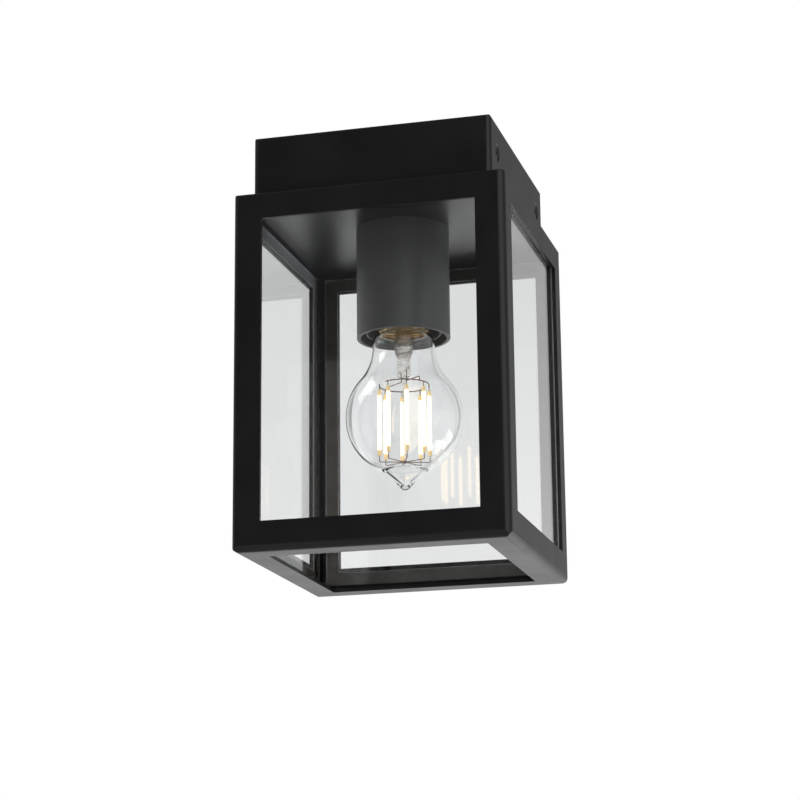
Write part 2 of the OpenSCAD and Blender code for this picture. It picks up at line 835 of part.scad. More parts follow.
// A cylinder along X through a pole
module pole_rod(r, length) {
    translate([-length / 2, 0, pole_z]) rotate([0, 90, 0]) cylinder(r = r, h = length);
}

// The three-pole block where the supply joins the lantern's leads
module terminal_block() color([0.90, 0.90, 0.88]) difference() {
    translate([block_x - block_w / 2, -block_l / 2, roof_top]) cube([block_w, block_l, block_h]);
    at_poles() pole_rod(pole_sleeve_r + slip_gap, block_w + 2 * over_cut);
    at_pole_screws() rod(pole_head_r + slip_gap, pole_z, block_top + over_cut);
    at_block_studs() rod(m3_hole_r, roof_top - over_cut, block_top + over_cut);
}

module terminal_sleeves() color(brass) difference() {
    at_poles() pole_rod(pole_sleeve_r, block_w - 2);
    at_poles() pole_rod(pole_bore_r, block_w + 2 * over_cut);
    at_pole_screws() rod(pole_screw_r + slip_gap, pole_z, block_top);
}

module terminal_screws() color(zinc) at_pole_screws() {
    screw_top = block_top - pole_head_sink;
    difference() {
        union() {
            rod(pole_head_r, screw_top - pole_head_h, screw_top);
            rod(pole_screw_r, pole_z + lead_d / 2 + slip_gap, screw_top);
        }
        translate([-pole_head_r, -pole_slot_w / 2, screw_top - pole_slot_depth])
            cube([2 * pole_head_r, pole_slot_w, pole_slot_depth + over_cut]);
    }
}

module block_nuts() color(zinc) at_block_studs()
    nut(m3_flats, m3_r + slip_gap, block_top, m3_nut_h);

// The ring tag on the earth stud, crimped on the earth lead
module earth_tag() color([0.78, 0.78, 0.76]) translate([0, earth_y, roof_top])
    difference() {
        union() {
            cylinder(r = tag_ring_r, h = m4_washer_t);
            translate([-tag_neck_w / 2, -tag_neck_l, 0])
                cube([tag_neck_w, tag_neck_l, m4_washer_t]);
            translate([0, tag_end_t - tag_barrel_start, tag_rise]) rotate([90, 0, 0])
                cylinder(r = lead_d / 2 + slip_gap + tag_wall, h = tag_barrel_l);
        }
        translate([0, 0, -over_cut]) cylinder(r = m4_hole_r, h = m4_washer_t + 2 * over_cut);
        translate([0, -tag_barrel_start, tag_rise]) rotate([90, 0, 0])
            cylinder(r = lead_d / 2 + slip_gap, h = tag_barrel_l + over_cut);
    }

module earth_washer() color(zinc) translate([0, earth_y, 0])
    ring(earth_washer_r, m4_hole_r, roof_top + m4_washer_t, roof_top + 2 * m4_washer_t);

module earth_nut() color(zinc) translate([0, earth_y, 0])
    nut(m4_flats, m4_r + slip_gap, roof_top + 2 * m4_washer_t, m4_nut_h);

// The way of a lead from a terminal post of the lampholder up to the nipple's upper end
function holder_route(side) = [
    [side * post_x, 0, insert_top + 1.3],
    [side * post_x, 0, insert_top + 4.6],
    [side * 7.3, 0, insert_top + 6.4],
    [side * 5.6, 0, insert_top + 7.7],
    [side * 3.8, 0, insert_top + 9],
    [side * 2.2, 0, insert_top + 11],
    [side * lead_offset, 0, insert_top + 14],
    [side * lead_offset, 0, nipple_top - 8],
    [side * lead_offset, 0, nipple_top]
];

// The last two points of a lead, straight into a pole of the block
function pole_route(pole) = [
    [block_x - block_w / 2 - 2, pole * pole_pitch, pole_z],
    [block_x - block_w / 2 + 0.5, pole * pole_pitch, pole_z],
    [block_x - 3.5, pole * pole_pitch, pole_z]
];

neutral_route = concat(holder_route(1), [
    [1.7, 0, nipple_top + 4],
    [3.5, 1.5, nipple_top + 6.5],
    [7, 4, nipple_top + 7.2],
    [11, 7, nipple_top + 5.5],
    [14.5, 9.3, nipple_top + 2],
    [17.2, 10, nipple_top - 2]
], pole_route(1));

live_route = concat(holder_route(-1), [
    [-1.3, 0, nipple_top + 4],
    [0.5, -1.5, nipple_top + 7.5],
    [4.5, -4, nipple_top + 9],
    [9.5, -7, nipple_top + 7],
    [13.8, -9.3, nipple_top + 2.7],
    [17, -10, nipple_top - 1.8]
], pole_route(-1));

earth_route = concat([
    [0, earth_y - tag_barrel_start - 0.5, roof_top + tag_rise],
    [0, earth_y - tag_barrel_start - 5, roof_top + tag_rise],
    [1, earth_y - tag_barrel_start - 10, roof_top + tag_rise + 1],
    [4, 11, roof_top + tag_rise + 2.5],
    [9, 5, pole_z - 0.5],
    [15, 1, pole_z]
], pole_route(0));

module live_lead() color([0.45, 0.25, 0.12]) lead_along(live_route, lead_d / 2);
module neutral_lead() color([0.20, 0.35, 0.70]) lead_along(neutral_route, lead_d / 2);
module earth_lead() color([0.35, 0.60, 0.20]) lead_along(earth_route, lead_d / 2);

// ---------------------------------------------------------------- bulb

// The glass, from its end in the cap over the neck and the round to the drawn tip, for the
// wall's surface that lies the depth t inside the outer one
function glass_side(t) =
    let (end_r = glass_end_r - t,
         curve_r = neck_curve_r + t,
         curve_turn = atan2(neck_curve_z - round_z, neck_r + neck_curve_r),
         tip_turn = acos((tip_base_r - t) / (round_r - t)))
    concat(
        [[end_r, glass_end]],
        [for (a = [0:15:90])
            [end_r + (neck_r - glass_end_r) * sin(a),
             cap_rim - slip_gap - t - (neck_flare_h - t) * (1 - cos(a))]],
        [for (s = [0:6])
            let (a = curve_turn * s / 6)
            [neck_r + neck_curve_r - curve_r * cos(a), neck_curve_z - curve_r * sin(a)]],
        [for (s = [1:14])
            let (a = curve_turn - (curve_turn + tip_turn) * s / 14)
            [(round_r - t) * cos(a), round_z + (round_r - t) * sin(a)]]
    );

// The point at the share t of the quadratic curve that leaves a towards b and arrives at c
function curve_between(a, b, c, t) = (1 - t) * (1 - t) * a + 2 * t * (1 - t) * b + t * t * c;

// The drawn tip: a hollow-sided cone that ends in a small ball
function glass_tip() =
    let (tip_z = bulb_top - bulb_l,
         base_z = round_z - sqrt(pow(round_r, 2) - pow(tip_base_r, 2)),
         ball = [for (a = [40:12.5:90])
             [tip_round_r * cos(a), tip_z + tip_round_r * (1 - sin(a))]],
         middle = [tip_waist_r, (base_z + tip_z) / 2 + tip_waist_rise])
    concat(
        [for (s = [1:5]) curve_between([tip_base_r, base_z], middle, ball[0], s / 6)],
        ball
    );

// The hollow over the tip, a shallow bowl
function glass_bowl() =
    let (bowl_r = tip_base_r - glass_t,
         bowl_z = round_z - sqrt(pow(round_r - glass_t, 2) - pow(bowl_r, 2)))
    [for (a = [0:15:75]) [bowl_r * sin(a), bowl_z - bowl_h * cos(a)]];

module bulb_glass() color(clear_glass) rotate_extrude() polygon(concat(
    glass_side(0),
    glass_tip(),
    glass_bowl(),
    reversed(glass_side(glass_t))
));

// The threaded metal cap. The wave fades out to its root, so that it clears the lampholder.
module bulb_cap() color(brass) {
    low = cap_rim + cap_rim_h;
    high = shell_top - shoulder_h;
    lip_r = shell_hole_r + shell_lip_w;
    ring_shell(concat(
        [[cap_rim, cap_rim_r, 0], [low - cap_rim_slope, cap_rim_r, 0]],
        [for (z = thread_rows(low, high))
            let (share = thread_share(z, low, high))
            [z, thread_mid_r - (1 - share) * thread_depth / 2, share]],
        [for (a = [30:30:90])
            [high + shoulder_h * sin(a),
             lip_r + (thread_mid_r - thread_depth / 2 - lip_r) * cos(a), 0]],
        [
            [shell_top, shell_hole_r, 0],
            [shell_top - shell_lip_h, shell_hole_r, 0],
            [high - cap_rim_slope, cap_bore_r, 0],
            [cap_rim, cap_bore_r, 0]
        ]
    ));
}

// The black glass between the cap and the centre contact
module bulb_insulator() color([0.05, 0.05, 0.06]) rotate_extrude() polygon([
    [0, shell_top - insulator_sink],
    [shell_hole_r - slip_gap, shell_top - insulator_sink],
    [shell_hole_r - slip_gap, shell_top],
    [shell_hole_r + insulator_lip, shell_top],
    [contact_r + insulator_edge, bulb_top - contact_h],
    [0, bulb_top - contact_h]
]);

module bulb_contact() color([0.75, 0.75, 0.72]) {
    rod(contact_r, bulb_top - contact_h, bulb_top - contact_h + contact_flange_t);
    rod(contact_nose_r, bulb_top - contact_h, bulb_top);
}

// The small circuit board in the cap, with a capacitor and two chips under it
module bulb_driver() color([0.10, 0.35, 0.20]) {
    board_top = shell_top - shoulder_h - 1;
    board_under = board_top - board_t;
    rod(glass_end_r, board_under, board_top);
    translate([capacitor_x, 0, 0]) rod(capacitor_r, board_under - capacitor_h, board_top);
    for (y = [-1, 1]) translate([-chip_l - 1, y * chip_w - chip_w / 2, board_under - chip_h])
        cube([chip_l, chip_w, chip_h + over_cut]);
}

// The glass stem: a flared tube, closed where the wires come out, with a thin rod under it
module bulb_stem() color(clear_glass) {
    flare_r = glass_end_r - glass_t - slip_gap;
    stem_top = glass_end - stem_setback;
    rotate_extrude() polygon(concat(
        [for (a = [0:15:90])
            [stem_r + (flare_r - stem_r) * (1 - sin(a)), stem_top - stem_flare_h * (1 - cos(a))]],
        [
            [stem_r, stem_end + pinch_l + stem_taper_h],
            [pinch_r, stem_end + pinch_l],
            [pinch_r, stem_end],
            [0, stem_end],
            [0, stem_end + stem_solid_h],
            [stem_r - glass_t, stem_end + stem_solid_h]
        ],
        [for (a = [90:-15:0])
            [stem_r - glass_t + (flare_r - stem_r) * (1 - sin(a)),
             stem_top - stem_flare_h * (1 - cos(a))]]
    ));
    rod(rod_r, lower_star_z + hub_h / 2, stem_end + 1);
}

// Places its children at each light-giving rod, with +X of the child pointing outwards
module at_filaments() {
    for (k = [0:filament_count - 1]) rotate([0, 0, filament_turn + 360 * k / filament_count])
        translate([filament_circle_r, 0, 0]) children();
}

// The light-giving rods, each with a metal pin at both ends
module filaments() color([1.0, 0.88, 0.55]) at_filaments() {
    rod(filament_d / 2, filament_mid - filament_l / 2, filament_mid + filament_l / 2);
    rod(pin_r, filament_mid - filament_l / 2 - pin_l, filament_mid + filament_l / 2 + pin_l);
}

// Two bent wires that join the rods' upper ends to the stem, half of the rods each
module upper_wires() color(zinc) for (half = [0, 1]) rotate([0, 0, filament_turn + 180 * half]) {
    step = 360 / filament_count;
    rods_here = floor(filament_count / 2);
    arc = step * (rods_here - 1) + 2 * ring_over;
    rotate([0, 0, -ring_over]) translate([0, 0, upper_ring_z])
        rotate_extrude(angle = arc) translate([filament_circle_r, 0]) circle(wire_r);
    for (k = [0:rods_here - 1]) rotate([0, 0, step * k]) translate([filament_circle_r, 0, 0])
        rod(drop_r, filament_mid + filament_l / 2 + pin_l, upper_ring_z);
    rotate([0, 0, step * (rods_here - 1) / 2 + feed_turn]) {
        translate([filament_circle_r, 0, 0]) rod(drop_r, upper_ring_z, feed_z);
        translate([feed_start - wire_r, 0, feed_z]) rotate([0, 90, 0])
            cylinder(r = wire_r, h = filament_circle_r - feed_start + 2 * wire_r);
        translate([feed_start, 0, 0]) rod(drop_r, feed_z, stem_end);
    }
}

// The star of wires that joins the rods' lower ends, on a hub under the stem's rod
module lower_wires() color(zinc) {
    rod(hub_r, lower_star_z - hub_h / 2, lower_star_z + hub_h / 2);
    at_filaments() {
        rod(drop_r, lower_star_z, filament_mid - filament_l / 2 - pin_l);
        translate([star_start - filament_circle_r, 0, lower_star_z]) rotate([0, 90, 0])
            cylinder(r = wire_r, h = filament_circle_r + wire_r - star_start);
    }
}

// ---------------------------------------------------------------- the model

ceiling_bracket();
cable_grommet();
side_nuts();
side_screws();
canopy();
weld_studs();
canopy_washers();
canopy_nuts();
housing();
pane_front();
pane_rear();
pane_left();
pane_right();
bead_front();
bead_rear();
bead_left();
bead_right();
holder_sleeve();
nipple();
nipple_washer();
nipple_nut();
lead_bush();
holder_cap();
holder_insert();
holder_terminals();
holder_skirt();
holder_thread();
holder_tongue();
shell_strap();
terminal_block();
terminal_sleeves();
terminal_screws();
block_nuts();
earth_tag();
earth_washer();
earth_nut();
live_lead();
neutral_lead();
earth_lead();
bulb_glass();
bulb_cap();
bulb_insulator();
bulb_contact();
bulb_driver();
bulb_stem();
filaments();
upper_wires();
lower_wires();
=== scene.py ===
# %% [markdown]
# # A porch ceiling lantern
# This lesson dresses a CAD model of a square porch lantern. The CAD model already has every
# piece at its real size. Here the visible ones get finer surfaces and every one gets a finish:
# powder-coated sheet, clear panes with ground edges, and a lit bulb with eight glowing rods.
# Lengths in this file are metres. The origin is the middle of the bracket, on the ceiling;
# +Z points up and -Y is the front.

# %% Load the CAD model
import math

import bmesh
import bpy
import numpy as np
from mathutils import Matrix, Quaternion, Vector


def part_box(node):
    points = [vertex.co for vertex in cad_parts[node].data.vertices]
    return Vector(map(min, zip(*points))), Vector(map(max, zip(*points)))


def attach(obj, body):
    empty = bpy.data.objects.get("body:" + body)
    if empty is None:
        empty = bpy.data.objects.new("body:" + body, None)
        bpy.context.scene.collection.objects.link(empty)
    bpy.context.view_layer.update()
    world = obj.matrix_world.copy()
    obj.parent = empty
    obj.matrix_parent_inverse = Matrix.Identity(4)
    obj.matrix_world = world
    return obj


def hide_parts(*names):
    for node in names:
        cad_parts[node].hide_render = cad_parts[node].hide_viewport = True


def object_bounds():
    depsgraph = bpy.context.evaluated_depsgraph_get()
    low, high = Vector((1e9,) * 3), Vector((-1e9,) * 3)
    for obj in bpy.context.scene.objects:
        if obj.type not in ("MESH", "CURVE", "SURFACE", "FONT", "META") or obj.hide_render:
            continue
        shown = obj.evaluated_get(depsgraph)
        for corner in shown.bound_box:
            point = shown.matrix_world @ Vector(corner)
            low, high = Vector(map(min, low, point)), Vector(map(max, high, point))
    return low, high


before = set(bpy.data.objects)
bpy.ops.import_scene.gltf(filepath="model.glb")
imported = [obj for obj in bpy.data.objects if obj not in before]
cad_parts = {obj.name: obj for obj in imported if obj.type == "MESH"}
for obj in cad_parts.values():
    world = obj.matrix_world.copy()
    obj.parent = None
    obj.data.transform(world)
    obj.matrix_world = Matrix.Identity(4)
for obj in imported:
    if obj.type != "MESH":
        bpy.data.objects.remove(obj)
cad_low, cad_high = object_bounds()
mm = 0.001
print("CAD nodes:", len(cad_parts), "box:", [round(v, 4) for v in (*cad_low, *cad_high)])

# %% [markdown]
# ## Camera
# The photograph looks up at the lantern from the right, through a long lens. Instead of three
# angles, the camera is given a place, a point that it looks at and a small roll about its own
# axis. That is easy to read, and easy to correct when a render is laid beside the photograph.

# %% Make the camera
scene = bpy.context.scene
camera_place = Vector((0.2974, -1.1209, -0.4260))
camera_aim = Vector((-0.0025, 0.0, -0.1273))
camera_roll = math.radians(0.568)
camera_lens = 104.49


def link_new_object(name, data):
    """Puts a mesh, a camera or a lamp into the scene as an object at the origin."""
    made = bpy.data.objects.new(name, data)
    bpy.context.collection.objects.link(made)
    return made


def place_and_aim(made, place, aim, roll=0.0):
    """Moves an object to a place and turns its -Z towards a point; roll turns it about that
    line."""
    line = Vector(aim) - Vector(place)
    made.location = place
    made.rotation_mode = "QUATERNION"
    made.rotation_quaternion = Quaternion(line, roll) @ line.to_track_quat("-Z", "Y")


camera_data = bpy.data.cameras.new("photo_camera")
camera_data.lens = camera_lens
camera_data.sensor_width = 36.0
camera_data.clip_start = 0.05
scene.camera = link_new_object("photo_camera", camera_data)
place_and_aim(scene.camera, camera_place, camera_aim, camera_roll)
print("camera is", round((camera_aim - camera_place).length, 3), "m from what it looks at")

# %% [markdown]
# ## Light
# A black lantern is mostly seen by what it reflects. The studio is white behind and below the
# lantern, where the backdrop is, and dim in front of it, where the camera stands. So the panels
# that face the camera stay black, and the sides and undersides that are seen at a shallow angle
# mirror the bright backdrop. The world holds that room; two soft lamps add a direction.

# %% Make the world
world = bpy.data.worlds.new("studio")
scene.world = world
world.use_nodes = True
tree = world.node_tree
tree.nodes.clear()


def plug(tree, socket, value):
    """Sets a socket to a number or a colour, or links another node's output to it."""
    if isinstance(value, bpy.types.NodeSocket):
        tree.links.new(value, socket)
    elif isinstance(value, (list, tuple)):
        socket.default_value = (*value, 1.0)
    else:
        socket.default_value = value


def feed(tree, node, **inputs):
    """Plugs values into a node's inputs by name, such as From_Min for From Min."""
    for name, value in inputs.items():
        plug(tree, node.inputs[name.replace("_", " ")], value)
    return node


def add_node(tree, kind, **inputs):
    """Adds a shader node and feeds its inputs."""
    return feed(tree, tree.nodes.new(kind), **inputs)


def math_node(tree, operation, *values):
    """Adds a Math node; each value is a number or another node's output."""
    node = tree.nodes.new("ShaderNodeMath")
    node.operation = operation
    for socket, value in zip(node.inputs, values):
        plug(tree, socket, value)
    return node.outputs[0]


def ramp(tree, value, from_low, from_high, to_low=0.0, to_high=1.0, kind="SMOOTHSTEP"):
    """Maps a value from one range to another: smoothly at both ends, or evenly with LINEAR."""
    node = add_node(tree, "ShaderNodeMapRange", From_Min=from_low, From_Max=from_high,
                    To_Min=to_low, To_Max=to_high, Value=value)
    node.interpolation_type = kind
    return node.outputs[0]


def choose(tree, switch, off, on):
    """One of two values, by a switch that is 0 or 1."""
    return add_node(tree, "ShaderNodeMix", Factor=switch, A=off, B=on).outputs["Result"]


def axes(tree, kind):
    """The x, y and z of a texture coordinate, such as Generated or Object."""
    where = tree.nodes.new("ShaderNodeTexCoord")
    return add_node(tree, "ShaderNodeSeparateXYZ", Vector=where.outputs[kind]).outputs


room_light = 0.72          # what matt surfaces receive from all round
seen_through_glass = 0.84  # the backdrop behind the panes, where less light falls on it
dim_front = 0.10           # what glossy surfaces see where the camera stands
low_backdrop = 1.30        # the backdrop's brightness low down, in a reflection
high_backdrop = 0.36       # and high up
floor_glow = 3.3           # the white floor below
side_panel = 2.1           # a soft reflector beside the camera, on its right
bulb_crossings = 4.5       # a mirrored ray that crossed more glass faces is within the bulb

# Where each part of the room begins and where it is complete. A ray's direction has three
# numbers from -1 to 1: aside to the right, behind and above.
backdrop_begins = (-0.35, 0.20)
backdrop_darkens = (-0.20, 0.60)
glow_begins = (0.72, 0.88)
floor_begins = (-0.08, -0.28)
panel_begins_aside = (0.0, 0.25)
panel_begins_ahead = (0.0, -0.25)

aside, behind, above = axes(tree, "Generated")
rays = tree.nodes.new("ShaderNodeLightPath").outputs

# The room as a reflection shows it: a backdrop behind that gets darker high up, a white floor
# below, a reflector beside the camera, and dimness where the camera stands. The floor glows
# most straight behind, for what is outside the glass.
backdrop_level = ramp(tree, above, *backdrop_darkens, low_backdrop, high_backdrop)
backdrop = math_node(tree, "MULTIPLY", ramp(tree, behind, *backdrop_begins), backdrop_level)
outside_glass = math_node(tree, "LESS_THAN", rays["Transmission Depth"], 0.5)
glowing = math_node(tree, "MULTIPLY", ramp(tree, behind, *glow_begins), outside_glass)
floor_level = choose(tree, glowing, low_backdrop, floor_glow)
white_floor = math_node(tree, "MULTIPLY", ramp(tree, above, *floor_begins), floor_level)
panel_aside = ramp(tree, aside, *panel_begins_aside, 0.0, side_panel)
panel = math_node(tree, "MULTIPLY", panel_aside, ramp(tree, behind, *panel_begins_ahead))
backdrop_or_floor = math_node(tree, "MAXIMUM", backdrop, white_floor)
bright_room = math_node(tree, "MAXIMUM", backdrop_or_floor, panel)
mirrored_room = math_node(tree, "MAXIMUM", bright_room, dim_front)

# A ray that has met a matt surface brings room light, one that has met a glossy surface the
# mirrored room, and any other one, straight or through glass, the plain white backdrop. So does
# one that was mirrored within the bulb, which keeps the bulb's clear tip as calm as its walls.
was_matt = math_node(tree, "GREATER_THAN", rays["Diffuse Depth"], 0.5)
was_glossy = math_node(tree, "GREATER_THAN", rays["Glossy Depth"], 0.5)
in_bulb = math_node(tree, "GREATER_THAN", rays["Transmission Depth"], bulb_crossings)
plain_white = choose(tree, rays["Is Transmission Ray"], 1.0, seen_through_glass)
glossy_view = choose(tree, in_bulb, mirrored_room, seen_through_glass)
mirrored = choose(tree, was_glossy, plain_white, glossy_view)
strength = choose(tree, was_matt, mirrored, room_light)

room = add_node(tree, "ShaderNodeBackground", Color=(1.0, 1.0, 1.0), Strength=strength)
add_node(tree, "ShaderNodeOutputWorld", Surface=room.outputs[0])
world.cycles.sampling_method = "NONE"

scene.view_settings.view_transform = "Standard"

# Through the front pane, the bulb and the rear pane a ray crosses more than a dozen surfaces.
scene.cycles.max_bounces = 32
scene.cycles.transmission_bounces = 24
scene.cycles.glossy_bounces = 8
scene.cycles.transparent_max_bounces = 24
print("world:", world.name, "with", len(tree.nodes), "nodes")

# %% [markdown]
# ## Lamps
# The room gives light from all round. Lamps in soft boxes add a direction without hard shadows.
# Area lamps do that here: a key high up on the left, and a weaker one low down behind the
# lantern on the right, which picks out its far edges.


# %% Two soft lamps
def soft_lamp(name, place, aim, size, power, colour):
    """A square area lamp at a place, turned to shine at a point."""
    data = bpy.data.lights.new(name, "AREA")
    data.shape = "SQUARE"
    data.size = size
    data.energy = power
    data.color = colour
    place_and_aim(link_new_object(name, data), place, aim)


lantern_middle = (0.0, 0.0, -0.11)
warm = (1.0, 0.985, 0.96)
cool = (0.97, 0.985, 1.0)
soft_lamp("key", (-1.2, -0.3, 1.2), lantern_middle, size=0.9, power=11.0, colour=warm)
soft_lamp("low_fill", (0.9, 0.9, -0.75), lantern_middle, size=0.8, power=5.0, colour=cool)

# %% [markdown]
# ## Floor
# The lantern hangs, so the floor is well below it and only takes its soft shadow. It is a plain
# pale disc. Its colour runs out to the white of the backdrop, so no horizon line shows.

# %% Make the floor
floor_drop = 1.0
floor_radius = 6.0
floor_fade = (1.6, 3.6)  # from the middle to where the colour begins to go and is gone
floor_grey = (0.86, 0.86, 0.86)


def disc_mesh(name, radius, height, rings=24, sides=96):
    """A flat disc: a grid in distance and angle, with x = d cos a and y = d sin a."""
    d = np.linspace(0.0, radius, rings + 1)[1:]
    a = np.linspace(0.0, 2 * np.pi, sides, endpoint=False)
    ring = np.stack([np.outer(d, np.cos(a)), np.outer(d, np.sin(a))], axis=-1).reshape(-1, 2)
    points = np.column_stack([ring, np.full(len(ring), height)])
    points = np.vstack([points, [0.0, 0.0, height]])
    inner = np.arange(sides)
    after = (inner + 1) % sides
    quads = [
        np.column_stack([k * sides + inner, (k + 1) * sides + inner,
                         (k + 1) * sides + after, k * sides + after])
        for k in range(rings - 1)
    ]
    centre = np.column_stack([np.full(sides, len(points) - 1), inner, after])
    mesh = bpy.data.meshes.new(name)
    mesh.from_pydata(points.tolist(), [], np.vstack(quads).tolist() + centre.tolist())
    return mesh


def mix_shaders(tree, share, first, second):
    """Shows a mix of two shaders, with a share of the second from 0 to 1."""
    mix = tree.nodes.new("ShaderNodeMixShader")
    for socket, value in zip(mix.inputs, (share, first.outputs[0], second.outputs[0])):
        plug(tree, socket, value)
    feed(tree, tree.nodes["Material Output"], Surface=mix.outputs[0])


floor_paint = bpy.data.materials.new("pale_floor")
floor_paint.use_nodes = True
tree = floor_paint.node_tree
tree.nodes.remove(tree.nodes["Principled BSDF"])
where = tree.nodes.new("ShaderNodeTexCoord")
from_middle = add_node(tree, "ShaderNodeVectorMath", Vector=where.outputs["Object"])
from_middle.operation = "LENGTH"
fade = ramp(tree, from_middle.outputs["Value"], *floor_fade, kind="LINEAR")
matt = add_node(tree, "ShaderNodeBsdfDiffuse", Color=floor_grey)
mix_shaders(tree, fade, matt, tree.nodes.new("ShaderNodeBsdfTransparent"))

floor = link_new_object("floor", disc_mesh("floor", floor_radius, cad_low.z - floor_drop))
floor.data.materials.append(floor_paint)
print("floor is", floor_drop, "m under the lantern")

# %% [markdown]
# ## Finishes
# Each material reads Object coordinates, which on these pieces are simply metres in the
# lantern's own frame. So a powder coat's grain is half a millimetre wide everywhere, and it
# stays on its piece when the bulb is turned. Noise that is much finer than a pixel still
# matters: it breaks a reflection's edge the way real paint does.

# %% Helpers for materials
def new_material(name):
    """A material with a Principled shader; returns the material, its tree and the shader."""
    material = bpy.data.materials.new(name)
    material.use_nodes = True
    tree = material.node_tree
    return material, tree, tree.nodes["Principled BSDF"]


def noise(tree, scale, detail=2.0):
    """A noise value on Object coordinates; scale is in features per metre."""
    where = tree.nodes.new("ShaderNodeTexCoord")
    node = add_node(tree, "ShaderNodeTexNoise", Scale=scale, Detail=detail,
                    Vector=where.outputs["Object"])
    return node.outputs["Fac"]


usual_noise = (0.3, 0.7)  # nearly every value of a noise lies between these


def spread(tree, value, low=0.0, high=1.0):
    """Maps a noise value to a range, such as a roughness from low to high."""
    return ramp(tree, value, *usual_noise, low, high, kind="LINEAR")


def blend_colours(tree, share, first, second):
    """A colour between two colours, by a share from 0 to 1."""
    node = tree.nodes.new("ShaderNodeMix")
    node.data_type = "RGBA"
    return feed(tree, node, Factor=share, A=first, B=second).outputs["Result"]


def raise_grain(tree, shader, height, depth):
    """Bumps the surface by a height value times a depth in metres."""
    bump = add_node(tree, "ShaderNodeBump", Height=height, Distance=depth)
    feed(tree, shader, Normal=bump.outputs[0])


# %% [markdown]
# ### Powder-coated sheet
# The housing and the canopy are black with a satin surface. Close up, a powder coat has an
# orange-peel skin: soft hills about a millimetre wide with finer grain on them. Two noises make
# the bump, and a third, much wider, lets the gloss drift a little over a panel. Between the hills
# the skin is matt, so only a share of it mirrors the room: a matt shader is mixed with a satin one.
# The paint flowed out smoothly on the underside of the roof, and there all of it is satin.

# %% Paint
sheet = 2.0 * mm
roof_under_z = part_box("canopy")[0].z - sheet
roof_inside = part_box("housing")[1].x - sheet - 0.2 * mm  # just inside the walls
drift_scale = 40.0    # the drift in gloss, in features per metre
peel_scale = 900.0    # the orange peel's hills
grain_scale = 4200.0  # the finer grain
grain_share = 0.25    # of the grain's height against the hills'
peel_depth = 0.018 * mm
lighter = 1.25        # how much lighter the paint gets at most


def under_roof(tree):
    """1 on the underside of the housing's roof and 0 elsewhere, from Object coordinates."""
    x, y, z = axes(tree, "Object")
    off_axis = math_node(
        tree, "MAXIMUM", math_node(tree, "ABSOLUTE", x), math_node(tree, "ABSOLUTE", y)
    )
    off_roof = math_node(tree, "ABSOLUTE", math_node(tree, "SUBTRACT", z, roof_under_z))
    return math_node(
        tree, "MULTIPLY", math_node(tree, "LESS_THAN", off_axis, roof_inside),
        math_node(tree, "LESS_THAN", off_roof, 0.5 * mm),
    )


def powder_coat(name, colour, rough_low, rough_high, satin_share):
    """Paint whose colour and gloss drift with one noise, and whose skin is the sum of two finer
    ones. It is satin by the given share, and wholly satin under the roof."""
    material, tree, satin = new_material(name)
    drift = noise(tree, drift_scale)
    worn = blend_colours(tree, spread(tree, drift), colour, [lighter * c for c in colour])
    feed(tree, satin, Base_Color=worn, Roughness=spread(tree, drift, rough_low, rough_high))
    fine = math_node(tree, "MULTIPLY", noise(tree, grain_scale), grain_share)
    hills = math_node(tree, "ADD", noise(tree, peel_scale, 1.0), fine)
    raise_grain(tree, satin, hills, peel_depth)
    matt = add_node(tree, "ShaderNodeBsdfDiffuse", Color=worn)
    share = math_node(tree, "MAXIMUM", under_roof(tree), satin_share)
    mix_shaders(tree, share, matt, satin)
    return material


black_coat = powder_coat("black_coat", (0.0066, 0.0064, 0.0074), 0.31, 0.37, satin_share=0.45)
tube_coat = powder_coat("tube_coat", (0.080, 0.080, 0.081), 0.40, 0.46, satin_share=0.8)
print("coats:", black_coat.name, tube_coat.name)


# %% [markdown]
# ### Metals
# Zinc plating has pale crystals with duller ones between them, and brass and tin go cloudy where
# they were handled. One noise does for all: it blends two shades of the metal and makes the
# darker one rougher. A finer noise is the grain of the rolled sheet.

# %% Metals
metal_rough = (-0.06, 0.10)  # how far the roughness goes below and above its mean
metal_grain = 0.006 * mm     # the grain's depth


def plated(name, colour, dark, rough, flake_scale):
    """Metal in two shades by a noise, which also spreads its roughness; returns the material."""
    material, tree, shader = new_material(name)
    flakes = noise(tree, flake_scale, 3.0)
    low, high = metal_rough
    feed(tree, shader, Metallic=1.0, Roughness=spread(tree, flakes, rough + low, rough + high),
         Base_Color=blend_colours(tree, spread(tree, flakes), colour, dark))
    raise_grain(tree, shader, noise(tree, 6 * flake_scale), metal_grain)
    return material


zinc = plated("zinc_plate", (0.66, 0.67, 0.68), (0.52, 0.53, 0.56), 0.34, 700.0)
brass = plated("rolled_brass", (0.80, 0.62, 0.34), (0.66, 0.48, 0.24), 0.24, 500.0)
bulb_wire = plated("bulb_wire", (0.26, 0.16, 0.12), (0.17, 0.10, 0.08), 0.34, 900.0)
tin = plated("tinned_metal", (0.74, 0.74, 0.73), (0.60, 0.60, 0.58), 0.26, 900.0)
print("metals:", [metal.name for metal in (zinc, brass, bulb_wire, tin)])

# %% [markdown]
# ### Plastics and rubber
# Moulded plastic takes the fine grain of its mould, and is a little darker and duller where it
# flowed last. Rubber is the same with a coarser grain, and glazed glass with hardly any.

# %% Plastics and rubber
plastic_rough = (-0.04, 0.05)  # as metal_rough
plastic_darker = 0.86          # what is left of the colour where it is darkest
mould_scale = 5000.0           # the mould's grain, in features per metre


